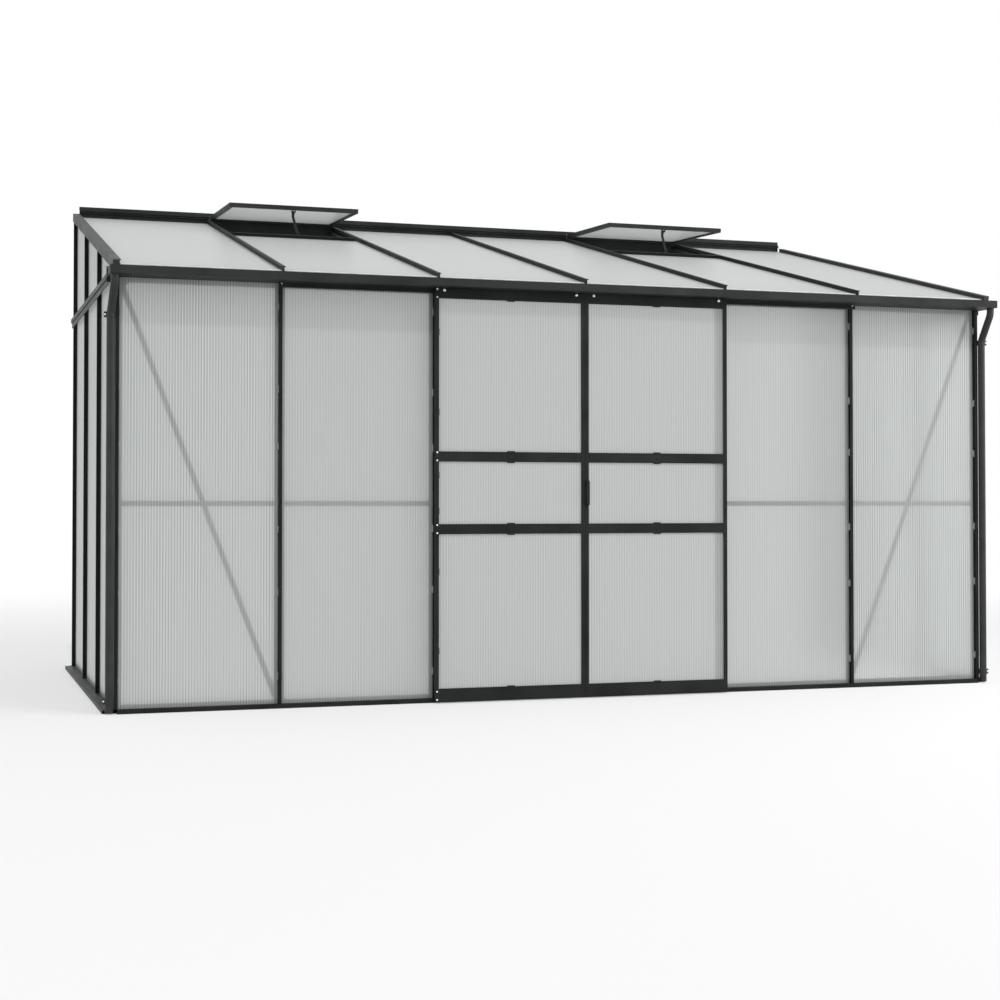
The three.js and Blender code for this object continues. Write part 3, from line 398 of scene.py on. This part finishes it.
# A sheet's numbers: how strongly its ribs show, the share of it that glows with the light from behind,
# and the share that lets things show through. The right-hand bays are seen more from the side, so that
# they need a clearer sheet for the bracing to show as much. Their colours are paler too: painted light,
# for the brighter light that falls on the right-hand bays.
lit_far_outer_sheets = twin_wall_polycarbonate(
    "lit_far_outer_twin_wall_sheet", "x", LIT_FAR_OUTER_SHEET, rib_show=1.1, glow_share=0.35, haze_share=0.4
)
lit_far_inner_sheets = twin_wall_polycarbonate(
    "lit_far_inner_twin_wall_sheet", "x", LIT_FAR_INNER_SHEET, rib_show=0.5, glow_share=0.35, haze_share=0.36
)
outer_sheets = twin_wall_polycarbonate(
    "outer_twin_wall_sheet", "x", FRONT_SHEET, rib_show=1.0, glow_share=0.35, haze_share=0.25
)
inner_sheets = twin_wall_polycarbonate(
    "inner_twin_wall_sheet", "x", INNER_SHEET, rib_show=0.58, glow_share=0.35, haze_share=0.24
)
gable_sheets = twin_wall_polycarbonate(
    "gable_twin_wall_sheet", "y", GABLE_SHEET, rib_show=1.3, glow_share=0.5, haze_share=0.3
)
roof_sheets = twin_wall_polycarbonate(
    "roof_twin_wall_sheet", "x", ROOF_SHEET, rib_show=0.28, glow_share=0.2, haze_share=0.05
)


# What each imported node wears, by the first words that its name holds; every other node is charcoal
FINISHES = (
    (("front_sheet_1",), outer_sheets),
    (("front_sheet_5",), lit_far_inner_sheets),
    (("front_sheet_6",), lit_far_outer_sheets),
    (("gable_sheet",), gable_sheets),
    (("roof_sheet", "vent_sheet"), roof_sheets),
    (("sheet",), inner_sheets),
    (("downpipe",), pipe_plastic),
    (("wheel",), nylon),
    (("door_frame", "front_sill"), door_coat),
    # Paler grey coat: painted light on the end rafters, gable rails and gable sills, which are lit from the
    # left
    (("sill", "bracing", "gable_rail", "end_rafter"), grey_and_lit_coat),
    (("post", "jamb", "front_bar", "gable_bar", "wall_bar"), black),
)


def finish_of(name):
    for words, finish in FINISHES:
        if any(word in name for word in words):
            return finish
    return charcoal


for name, piece in nodes.items():
    piece.data.materials.clear()
    piece.data.materials.append(finish_of(name))


# Small hardware, built in mesh code and gathered into one piece for each kind and body
ROUND_SIDES = 20
SMALL_HEAD_SIDES = 16
SHARP_ANGLE = 35


def turned(into, profile, centre, direction, sides=ROUND_SIDES):
    """A revolved profile of (radius, height) pairs in millimetres, closed at both ends."""
    turn = Vector((0, 0, 1)).rotation_difference(Vector(direction)).to_matrix()
    loops = []
    for radius, height in profile:
        loop = []
        for step in range(sides):
            angle = 2 * math.pi * step / sides
            point = Vector((mm(radius) * math.cos(angle), mm(radius) * math.sin(angle), mm(height)))
            loop.append(into.verts.new(Vector(centre) + turn @ point))
        loops.append(loop)
    for low, high in zip(loops, loops[1:]):
        for step in range(sides):
            after = (step + 1) % sides
            into.faces.new((low[step], low[after], high[after], high[step]))
    into.faces.new(tuple(reversed(loops[0])))
    into.faces.new(tuple(loops[-1]))


def moulded_block(into, low, high, edge):
    """A block between two corners in metres, its edges rounded off by so many millimetres."""
    block = bmesh.new()
    low, high = Vector(low), Vector(high)
    place = Matrix.Translation((low + high) / 2) @ Matrix.Diagonal((*(high - low), 1))
    bmesh.ops.create_cube(block, size=1, matrix=place)
    bmesh.ops.bevel(block, geom=block.edges[:], offset=mm(edge), segments=2, affect="EDGES")
    mesh = bpy.data.meshes.new("block")
    block.to_mesh(mesh)
    block.free()
    into.from_mesh(mesh)
    bpy.data.meshes.remove(mesh)


def drawn(into, points, along, start, first, second):
    """A closed section of (first, second) points in millimetres, drawn out from start by a vector."""
    start, along = Vector(start), Vector(along)
    first, second = Vector(first), Vector(second)
    near = [into.verts.new(start + first * mm(a) + second * mm(b)) for a, b in points]
    far = [into.verts.new(corner.co + along) for corner in near]
    count = len(near)
    for k in range(count):
        after = (k + 1) % count
        into.faces.new((near[k], near[after], far[after], far[k]))
    into.faces.new(tuple(reversed(near)))
    into.faces.new(tuple(far))


def ring(into, centre, bore, rim, thick, sides):
    """A flat ring that lies on a level face, its edges eased."""
    profile = [
        (bore, 0),
        (rim, 0),
        (rim, thick * 0.6),
        (rim - 0.5, thick),
        (bore + 0.4, thick),
        (bore, thick * 0.7),
    ]
    loops = []
    for step in range(sides):
        angle = 2 * math.pi * step / sides
        way = Vector((math.cos(angle), math.sin(angle), 0))
        loop = [Vector(centre) + way * mm(radius) + Vector((0, 0, mm(z))) for radius, z in profile]
        loops.append([into.verts.new(point) for point in loop])
    for step in range(sides):
        near, far = loops[step], loops[(step + 1) % sides]
        for k in range(len(profile)):
            after = (k + 1) % len(profile)
            into.faces.new((near[k], near[after], far[after], far[k]))


def piece_from(name, shape, material, body):
    """One named piece from a shape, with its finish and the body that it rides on."""
    mesh = bpy.data.meshes.new(name)
    bmesh.ops.recalc_face_normals(shape, faces=shape.faces[:])
    shape.to_mesh(mesh)
    shape.free()
    mesh.materials.append(material)
    mesh.shade_smooth()
    mesh.set_sharp_from_angle(angle=math.radians(SHARP_ANGLE))
    piece = stand(name, mesh)
    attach(piece, body)
    return piece


def joint_place(name):
    for joint in frame["joints"]:
        if joint["name"] == name:
            return Vector(joint["pos_m"])
    raise KeyError(name)


# A pan head as shares of its radius, with a sunk drive in its middle
PAN_HEAD_SHARES = [
    (0.98, 0),
    (1, 0.12),
    (0.96, 0.3),
    (0.82, 0.48),
    (0.56, 0.6),
    (0.4, 0.63),
    (0.34, 0.6),
    (0.3, 0.3),
    (0.12, 0.28),
]


def pan_head(into, centre, direction, radius, sides=SMALL_HEAD_SIDES):
    """A screw's head that stands on a face, its radius in millimetres."""
    profile = [(radius * out, radius * up) for out, up in PAN_HEAD_SHARES]
    turned(into, profile, centre, direction, sides)


# An M6 bolt's end with its washer and nut, in millimetres
NUT_FLAT = 10
NUT_HEIGHT = 5
NUT_CHAMFER = 0.6
NUT_SIDES = 6
BOLT_RADIUS = 3
BOLT_SUNK = 1
BOLT_END = 3
BOLT_CHAMFER = 0.6
BOLT_SIDES = 14
WASHER_RADIUS = 6.5
WASHER_THICK = 1.2


def bolt_and_nut(into, centre, direction):
    """A washer, a hexagon nut and the bolt's end, as they show on the inside of the frame."""
    rim = WASHER_RADIUS
    washer = [(rim, 0), (rim, WASHER_THICK * 0.8), (rim * 0.96, WASHER_THICK)]
    turned(into, washer, centre, direction)
    corner = NUT_FLAT / math.sqrt(3)
    low = WASHER_THICK
    high = low + NUT_HEIGHT
    nut = [
        (corner - NUT_CHAMFER, low),
        (corner, low + NUT_CHAMFER),
        (corner, high - NUT_CHAMFER),
        (corner - NUT_CHAMFER, high),
    ]
    turned(into, nut, centre, direction, NUT_SIDES)
    end = high + BOLT_END
    bolt = [(BOLT_RADIUS, high - BOLT_SUNK), (BOLT_RADIUS, end - BOLT_CHAMFER), (BOLT_RADIUS * 0.8, end)]
    turned(into, bolt, centre, direction, BOLT_SIDES)


# Doors: roller screws, screws at the frame's joints, and clips that hold the panes to the rails and stiles
ROLLER_SCREW_RADIUS = 6.4
JOINT_SCREW_RADIUS = 3.8
JOINT_SCREW_SPREAD = 16
STILE_WIDTH = 15
DOOR_RAIL_HEIGHT = 40
BOTTOM_RAIL_TOP = 57.5
DOOR_RAIL_SHARES = (0.4184, 0.5936)
RAIL_CLIP_WIDTH = 34
RAIL_CLIP_REACH = 4
RAIL_CLIP_LAP = 7
RAIL_CLIP_PROUD = 1.2
RAIL_CLIP_ROUND = 2.2
RAIL_CLIP_SCREW = 4.2
PANE_SET_BACK = 6.2
PANE_CLIP_WIDTH = 5
PANE_CLIP_HEIGHT = 27
PANE_CLIP_PROUD = 1.6
PANE_CLIP_ROUND = 0.8
PANE_CLIP_HEIGHTS = (206, 517, 757, 899, 1148, 1465)


def door_rail_edges(low, high):
    """Heights of the lower and upper edge of each rail of a door, from the ground up, in metres."""
    half = mm(DOOR_RAIL_HEIGHT) / 2
    edges = [(low.z, mm(BOTTOM_RAIL_TOP))]
    for share in DOOR_RAIL_SHARES:
        edges.append((share * high.z - half, share * high.z + half))
    edges.append((high.z - 2 * half, high.z))
    return edges


def door_hardware(word, side):
    low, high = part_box(f"{word}_door_frame")
    body = f"{word}_door"
    rails = door_rail_edges(low, high)
    rollers = bmesh.new()
    for k in (1, 2):
        wheel_low, wheel_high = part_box(f"{word}_door_wheel_{k}")
        axle = (wheel_low + wheel_high) / 2
        pan_head(rollers, (axle.x, DOOR_FACE_Y, axle.z), OUTWARD, ROLLER_SCREW_RADIUS, ROUND_SIDES)
    piece_from(f"{word}_door_roller_screws", rollers, zinc, body)

    # In the photograph only the left door shows screws on its outer stile
    if side < 0:
        screws = bmesh.new()
        x = low.x + mm(STILE_WIDTH) / 2
        for foot, top in rails:
            middle = (foot + top) / 2
            for turn in (-1, 1):
                z = middle + turn * mm(JOINT_SCREW_SPREAD)
                pan_head(screws, (x, DOOR_FACE_Y, z), OUTWARD, JOINT_SCREW_RADIUS)
        piece_from("left_door_joint_screws", screws, zinc, body)

    clips = bmesh.new()
    screws = bmesh.new()
    centre = (low.x + high.x) / 2
    half = mm(RAIL_CLIP_WIDTH) / 2
    front = DOOR_FACE_Y - mm(RAIL_CLIP_PROUD)
    back = DOOR_FACE_Y + mm(PANE_SET_BACK)
    for number, (foot, top) in enumerate(rails):
        if number < len(rails) - 1:
            rail_clip(clips, centre, half, top, 1, front, back)
        if number > 0:
            rail_clip(clips, centre, half, foot, -1, front, back)
    # One painted screw between the two tabs of each middle rail
    for foot, top in rails[1:3]:
        pan_head(screws, (centre, DOOR_FACE_Y, (foot + top) / 2), OUTWARD, RAIL_CLIP_SCREW)
    piece_from(f"{word}_door_rail_clips", clips, clip_plastic, body)
    piece_from(f"{word}_door_rail_clip_screws", screws, charcoal, body)

    # The photograph shows pane clips on the left door's outer stile alone
    if side > 0:
        return
    panes = bmesh.new()
    edge = low.x + mm(STILE_WIDTH)
    tall = mm(PANE_CLIP_HEIGHT) / 2
    for height in PANE_CLIP_HEIGHTS:
        near = (edge, back - mm(PANE_CLIP_PROUD), mm(height) - tall)
        far = (edge + mm(PANE_CLIP_WIDTH), back, mm(height) + tall)
        moulded_block(panes, near, far, PANE_CLIP_ROUND)
    piece_from("left_door_pane_clips", panes, clip_steel, body)


def rail_clip(into, centre, half, edge, way, front, back):
    """A tab with rounded corners that laps a rail's edge and reaches out over the pane."""
    inner = -way * mm(RAIL_CLIP_LAP)
    outer = way * mm(RAIL_CLIP_REACH)
    low = (centre - half, front, edge + min(inner, outer))
    high = (centre + half, back, edge + max(inner, outer))
    moulded_block(into, low, high, RAIL_CLIP_ROUND)


# Fixed glazing: a spring strap under each side of a bar's head that presses the sheet to its seat
STRAP_HEIGHTS = (123, 445, 687, 1007, 1228, 1548)
STRAP_THICK = 0.9
STRAP_HEIGHT = 29
STRAP_REACH = 13.5
STRAP_ROOT = 4.5


def strap_section(side):
    """A bent strap: from the web under the head down to a foot on the sheet; second axis is depth."""
    foot = SHEET_DEPTH - STRAP_THICK
    line = [
        (STRAP_ROOT, HEAD_THICK + 0.4),
        (STRAP_ROOT + 1.5, HEAD_THICK + 4),
        (HEAD_HALF + 1, foot - 3),
        (HEAD_HALF + 3, foot),
        (STRAP_REACH, foot),
    ]
    inner = [(x, depth + STRAP_THICK) for x, depth in line]
    inner[0] = (line[0][0] - STRAP_THICK, line[0][1] + 0.3)
    inner[1] = (line[1][0] - STRAP_THICK, line[1][1] + 0.3)
    points = line + inner[::-1]
    return [(side * x, depth) for x, depth in points]


def glazing_straps():
    straps = bmesh.new()
    tall = mm(STRAP_HEIGHT)
    lines = [
        ("left_corner_post", (1,)),
        ("left_front_bar", (-1, 1)),
        ("left_door_jamb", (-1,)),
        ("right_door_jamb", (1,)),
        ("right_front_bar", (-1, 1)),
        ("right_corner_post", (-1,)),
    ]
    for node, sides in lines:
        low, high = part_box(node)
        centre = (low.x + high.x) / 2
        if "corner" in node:
            centre = low.x + mm(HEAD_HALF) if "left" in node else high.x - mm(HEAD_HALF)
        for height in STRAP_HEIGHTS:
            for side in sides:
                section = strap_section(side)
                if "corner" in node:
                    section = [(side * max(abs(x), HEAD_HALF + 0.1), depth) for x, depth in section]
                start = (centre, FRONT_Y, mm(height) - tall / 2)
                drawn(straps, section, (0, 0, tall), start, (1, 0, 0), INWARD)
    piece_from("glazing_straps", straps, strap_steel, "structure")


# Screws that show on the outside of the fixed frame
BAR_SCREW_RADIUS = 4.8
TRACK_FRONT = 12
BAR_SCREW_DROP = 5
PIPE_SCREW_RADIUS = 3.8
PIPE_CLIP_HEIGHTS = (49, 1495)
PIPE_EAR_INSET = 4.6
PIPE_EAR_FRONT = 4.8
PLATE_SCREW_RADIUS = 3.2
PLATE_SCREW_DROP = 11
PLATE_DEPTH = 13.3


def outside_screws():
    screws = bmesh.new()
    for word, _ in SIDES:
        low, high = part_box(f"{word}_front_bar")
        centre = ((low.x + high.x) / 2, low.y - mm(TRACK_FRONT), high.z - mm(BAR_SCREW_DROP))
        pan_head(screws, centre, OUTWARD, BAR_SCREW_RADIUS)
    piece_from("bar_screws", screws, zinc, "structure")

    # The plate's screws are painted with it
    screws = bmesh.new()
    low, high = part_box("wall_plate")
    for place in range(BAYS):
        x = mm(BAY) * (place + 0.5 - BAYS / 2)
        centre = (x, high.y - mm(PLATE_DEPTH), high.z - mm(PLATE_SCREW_DROP))
        pan_head(screws, centre, OUTWARD, PLATE_SCREW_RADIUS)
    piece_from("plate_screws", screws, charcoal, "structure")

    screws = bmesh.new()
    for word, side in SIDES:
        low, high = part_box(f"{word}_downpipe")
        x = low.x + mm(PIPE_EAR_INSET) if side < 0 else high.x - mm(PIPE_EAR_INSET)
        for height in PIPE_CLIP_HEIGHTS:
            centre = (x, FRONT_Y - mm(PIPE_EAR_FRONT), mm(height))
            pan_head(screws, centre, OUTWARD, PIPE_SCREW_RADIUS)
    piece_from("pipe_clip_screws", screws, zinc, "structure")


# Bolts and nuts on the inside, where the bars meet the sills, the eaves beam, the rails and the braces
SILL_BOLT_HEIGHT = 23
EAVES_BOLT_DROP = 9
GUSSET_BOLT_DROP = 14
BRACE_THICK = 3
BRACE_BOLT_INSET = 12
BRACE_FOOT_INSET = 14
BRACE_FOOT_RISE = 10
MID_RAIL_HEIGHT = 787
MID_RAIL_END_INSET = 8
GABLE_RAIL_BOLT_HEIGHT = 1645
GABLE_BAR_HALF = 20
WALL_BAR_INNER = 1844.4


def inside_bolts():
    bolts = bmesh.new()
    sill_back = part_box("front_sill")[1].y
    beam_back = GUTTER[1].y
    gusset_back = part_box("left_bracing")[1].y
    brace_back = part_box("left_bracing")[0].y + mm(BRACE_THICK)
    foot_z = mm(SILL_BOLT_HEIGHT)
    eaves_z = BAR[1].z - mm(EAVES_BOLT_DROP)
    for node in ("left_front_bar", "left_door_jamb", "right_door_jamb", "right_front_bar"):
        low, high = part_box(node)
        x = (low.x + high.x) / 2
        bolt_and_nut(bolts, (x, sill_back, foot_z), INWARD)
        bolt_and_nut(bolts, (x, beam_back, eaves_z), INWARD)
    for word, side in SIDES:
        low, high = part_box(f"{word}_bracing")
        outer, near = (low.x, high.x) if side < 0 else (high.x, low.x)
        corner_x = outer - side * mm(BRACE_BOLT_INSET)
        foot_x = side * mm(2 * BAY + BRACE_FOOT_INSET)
        for x in (corner_x, side * mm(BAY) * 2, near + side * mm(MID_RAIL_END_INSET)):
            bolt_and_nut(bolts, (x, brace_back, mm(MID_RAIL_HEIGHT)), INWARD)
        bolt_and_nut(bolts, (corner_x, gusset_back, high.z - mm(GUSSET_BOLT_DROP)), INWARD)
        bolt_and_nut(bolts, (foot_x, brace_back, low.z + mm(BRACE_FOOT_RISE)), INWARD)
        sill_low, sill_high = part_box(f"{word}_gable_sill")
        sill_in = sill_high.x if side < 0 else sill_low.x
        for bar in ("gable_bar_1", "gable_bar_2", "wall_bar"):
            low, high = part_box(f"{word}_{bar}")
            y = low.y + mm(GABLE_BAR_HALF)
            channel = high.x if side < 0 else low.x
            if bar == "wall_bar":
                channel = side * mm(WALL_BAR_INNER)
            bolt_and_nut(bolts, (sill_in, y, foot_z), (-side, 0, 0))
            bolt_and_nut(bolts, (channel, y, mm(GABLE_RAIL_BOLT_HEIGHT)), (-side, 0, 0))
    piece_from("frame_bolts", bolts, zinc, "structure")


# Roof: a milky end strip folded round the lower edge of each roof sheet. Its hook stays clear of the
# rafters' webs and its lip of their flanges, by these insets from each bay's edges.
STRIP_WALL = 0.9
STRIP_LAP = 13
STRIP_CLEAR = 0.15
SHEET_LOW = 55
HOOK_INSET = 5.5
LIP_INSET = 20.5


def roof_edge_strips():
    strips = bmesh.new()
    low = -SHEET_LOW / math.cos(ROOF_SLOPE)
    outer = SHEET_DEPTH - STRIP_CLEAR
    inner = SHEET_DEPTH + SHEET_THICK + STRIP_CLEAR
    hook = [
        (low + STRIP_LAP, outer),
        (low + STRIP_LAP, outer - STRIP_WALL),
        (low - STRIP_CLEAR - STRIP_WALL, outer - STRIP_WALL),
        (low - STRIP_CLEAR - STRIP_WALL, inner),
        (low - STRIP_CLEAR, inner),
        (low - STRIP_CLEAR, outer),
    ]
    lip = [
        (low + STRIP_LAP, inner + STRIP_WALL),
        (low + STRIP_LAP, inner),
        (low - STRIP_CLEAR - STRIP_WALL, inner),
        (low - STRIP_CLEAR - STRIP_WALL, inner + STRIP_WALL),
    ]
    for place in range(BAYS):
        edge = mm(BAY) * (place - BAYS / 2)
        for section, inset in ((hook, HOOK_INSET), (lip, LIP_INSET)):
            start = (edge + mm(inset), FRONT_Y, ROOF_TOP)
            length = mm(BAY - 2 * inset)
            drawn(strips, section, (length, 0, 0), start, ROOF_UP, ROOF_IN)
    piece_from("roof_edge_strips", strips, milky_plastic, "structure")


# Vents: end stops beside each vent on the wall plate's hook, and the heads of the stay's pin
STOP_WIDTH = 4
STOP_GAP = 0.8
STOP_RADIUS = 7.5
STOP_BORE = 6.4
STOP_STEPS = 18
STOP_SLIT = 60
PIN_HEAD_RADIUS = 4.5
PIN_HEAD_SIDES = 18
LUG_HALF = 9


def vent_hardware(word):
    hinge = joint_place(f"{word}_vent_hinge")
    low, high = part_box(f"{word}_vent_frame")
    stops = bmesh.new()
    for edge, outward in ((low.x, -1), (high.x, 1)):
        near = edge + outward * mm(STOP_GAP)
        split_collar(stops, (near, hinge.y, hinge.z), outward)
    piece_from(f"{word}_vent_stops", stops, nylon_white, "structure")

    pins = bmesh.new()
    pivot = joint_place(f"{word}_stay_pivot")
    for way in (-1, 1):
        centre = (pivot.x + way * mm(LUG_HALF), pivot.y, pivot.z)
        pan_head(pins, centre, (way, 0, 0), PIN_HEAD_RADIUS, PIN_HEAD_SIDES)
    piece_from(f"{word}_stay_pin_heads", pins, zinc, f"{word}_vent")


def split_collar(into, centre, way):
    """A ring with a slit, snapped over the hook from above beside the end of a vent."""
    slit = math.radians(STOP_SLIT)
    turns = [slit + (2 * math.pi - 2 * slit) * k / STOP_STEPS for k in range(STOP_STEPS + 1)]
    points = [(-STOP_RADIUS * math.cos(turn), STOP_RADIUS * math.sin(turn)) for turn in turns]
    points += [(-STOP_BORE * math.cos(turn), STOP_BORE * math.sin(turn)) for turn in reversed(turns)]
    drawn(into, points, (way * mm(STOP_WIDTH), 0, 0), centre, INWARD, (0, 0, 1))


# Door track: a stop block at each end of the rail, beyond the doors' travel
TRACK_STOP_LENGTH = 8
TRACK_HALF = 1248
TRACK_STOP_LOW = 1623.3
TRACK_STOP_HIGH = 1634
TRACK_STOP_FRONT = 20.4
TRACK_STOP_BACK = 12.2
TRACK_STOP_ROUND = 0.8


def track_stops():
    stops = bmesh.new()
    for _, side in SIDES:
        outer = side * mm(TRACK_HALF)
        inner = side * mm(TRACK_HALF - TRACK_STOP_LENGTH)
        low = (min(outer, inner), FRONT_Y - mm(TRACK_STOP_FRONT), mm(TRACK_STOP_LOW))
        high = (max(outer, inner), FRONT_Y - mm(TRACK_STOP_BACK), mm(TRACK_STOP_HIGH))
        moulded_block(stops, low, high, TRACK_STOP_ROUND)
    piece_from("track_stops", stops, clip_plastic, "structure")


# Gutter: the flange of each outlet on the gutter's floor
OUTLET_INSET = 19.5
OUTLET_FRONT = 84
OUTLET_BORE = 13.9
OUTLET_RIM = 17.5
OUTLET_THICK = 1.4
OUTLET_SIDES = 28
GUTTER_WALL = 2


def gutter_outlets():
    rings = bmesh.new()
    low, high = GUTTER
    floor = EAVES + mm(GUTTER_WALL)
    for _, side in SIDES:
        x = (low.x if side < 0 else high.x) - side * mm(OUTLET_INSET)
        centre = (x, FRONT_Y - mm(OUTLET_FRONT), floor)
        ring(rings, centre, OUTLET_BORE, OUTLET_RIM, OUTLET_THICK, OUTLET_SIDES)
    piece_from("gutter_outlet_flanges", rings, pipe_plastic, "structure")


# The studio: a pale floor that runs out into a white backdrop, in metres from the greenhouse's middle
FLOOR_HALF = 60
FADE_START = 2.5
FADE_END = 9.0
WHITE_NEAR = 0.3
SHOWN_WHITE = 1.0
ROOM_LIGHT = 0.72

# Soft square lamps: name, place and aim in metres, the side in metres, and watts
SOFT_LAMPS = (
    ("overhead", (4, -6, 6.5), (0.6, 0, 1), 5, 230),
    ("left_fill", (-8, -1, 4), (-1, 0.5, 1), 5, 110),
    ("right_fill", (5, -3, 2), (1.9, -0.9, 1.1), 2, 90),
)

# The sun's height over the ground, its turn from straight ahead and its width, in degrees
SUN_HEIGHT = 54
SUN_TURN = -4
SUN_WIDTH = 1.2
SUN_STRENGTH = 0.8

# The camera as fitted to measured points of the photograph: its place in metres, its turn and its upward
# tilt in degrees, its focal length in pixels of the frame, and the frame's shift as a share of its width
CAMERA_PLACE = (-2.5222, -7.5619, 0.7890)
CAMERA_TURN = -18.047
CAMERA_TILT = 1.147
FOCAL_PIXELS = 1747.2
FRAME_PIXELS = 1000
FRAME_SHIFT = -0.03203
SENSOR_WIDTH = 36


def white_rays(tree):
    """Which rays meet a white backdrop, and of these the ones that come through a sheet."""
    paths = add(tree, "ShaderNodeLightPath")
    seen = paths.outputs["Is Camera Ray"]
    for kind in ("Is Glossy Ray", "Is Transmission Ray"):
        both = add(tree, "ShaderNodeMath", {"operation": "MAXIMUM"}, {0: seen, 1: paths.outputs[kind]})
        seen = both.outputs[0]
    return seen, paths.outputs["Is Transmission Ray"]


def pale_floor():
    mesh = bpy.data.meshes.new("floor")
    shape = bmesh.new()
    bmesh.ops.create_grid(shape, x_segments=1, y_segments=1, size=FLOOR_HALF)
    shape.to_mesh(mesh)
    shape.free()
    floor = stand("floor", mesh)
    material = new_material("matt_white_floor")
    tree = material.node_tree
    seen, through = white_rays(tree)
    # The floor keeps its shadows near the greenhouse and is white further out
    place = add(tree, "ShaderNodeNewGeometry")
    far = add(tree, "ShaderNodeVectorMath", {"operation": "LENGTH"}, {0: place.outputs["Position"]})
    fade = add(
        tree,
        "ShaderNodeMapRange",
        {
            "From Min": FADE_START,
            "From Max": FADE_END,
            "To Min": WHITE_NEAR,
            "To Max": 1.0,
            "interpolation_type": "SMOOTHSTEP",
        },
        {"Value": far.outputs["Value"]},
    )
    shown = add(tree, "ShaderNodeMath", {"operation": "MULTIPLY"}, {0: seen, 1: fade.outputs["Result"]})
    # Seen through the sheets, the floor is as pale inside the greenhouse as it is outside
    share = add(tree, "ShaderNodeMath", {"operation": "MAXIMUM"}, {0: shown.outputs[0], 1: through})
    paint = add(tree, "ShaderNodeBsdfDiffuse", {"Color": linear(FLOOR)})
    white = add(tree, "ShaderNodeEmission", {"Strength": SHOWN_WHITE})
    mixed = add(
        tree,
        "ShaderNodeMixShader",
        links={0: share.outputs[0], 1: paint.outputs[0], 2: white.outputs[0]},
    )
    add(tree, "ShaderNodeOutputMaterial", links={"Surface": mixed.outputs[0]})
    mesh.materials.append(material)


def white_world():
    world = bpy.data.worlds.new("white_studio")
    bpy.context.scene.world = world
    world.use_nodes = True
    tree = world.node_tree
    tree.nodes.clear()
    seen, _ = white_rays(tree)
    soft = add(tree, "ShaderNodeBackground", {"Color": (1, 1, 1, 1), "Strength": ROOM_LIGHT})
    bright = add(tree, "ShaderNodeBackground", {"Color": (1, 1, 1, 1), "Strength": SHOWN_WHITE})
    both = add(tree, "ShaderNodeMixShader", links={0: seen, 1: soft.outputs[0], 2: bright.outputs[0]})
    add(tree, "ShaderNodeOutputWorld", links={"Surface": both.outputs[0]})


def soft_lamp(name, place, aim, size, watts):
    lamp = bpy.data.lights.new(name, "AREA")
    lamp.shape = "SQUARE"
    lamp.size = size
    lamp.energy = watts
    thing = stand(name, lamp)
    thing.location = place
    thing.rotation_euler = (Vector(aim) - Vector(place)).to_track_quat("-Z", "Y").to_euler()


def high_sun():
    """A lamp in front, high enough for the gutter's shadow to end where the photograph shows it."""
    sun = bpy.data.lights.new("high_sun", "SUN")
    sun.energy = SUN_STRENGTH
    sun.angle = math.radians(SUN_WIDTH)
    stand("high_sun", sun).rotation_euler = (math.radians(90 - SUN_HEIGHT), 0, math.radians(SUN_TURN))


def photograph_camera():
    lens = bpy.data.cameras.new("photograph")
    lens.sensor_width = SENSOR_WIDTH
    lens.lens = SENSOR_WIDTH * FOCAL_PIXELS / FRAME_PIXELS
    lens.shift_y = FRAME_SHIFT
    lens.dof.use_dof = False
    camera = stand("photograph", lens)
    camera.location = CAMERA_PLACE
    camera.rotation_euler = (math.radians(90 + CAMERA_TILT), 0, math.radians(CAMERA_TURN))
    bpy.context.scene.camera = camera


pale_floor()
white_world()
high_sun()
for lamp in SOFT_LAMPS:
    soft_lamp(*lamp)
photograph_camera()
for word, side in SIDES:
    door_hardware(word, side)
    vent_hardware(word)
glazing_straps()
outside_screws()
inside_bolts()
roof_edge_strips()
track_stops()
gutter_outlets()

bpy.context.scene.view_settings.view_transform = "Standard"
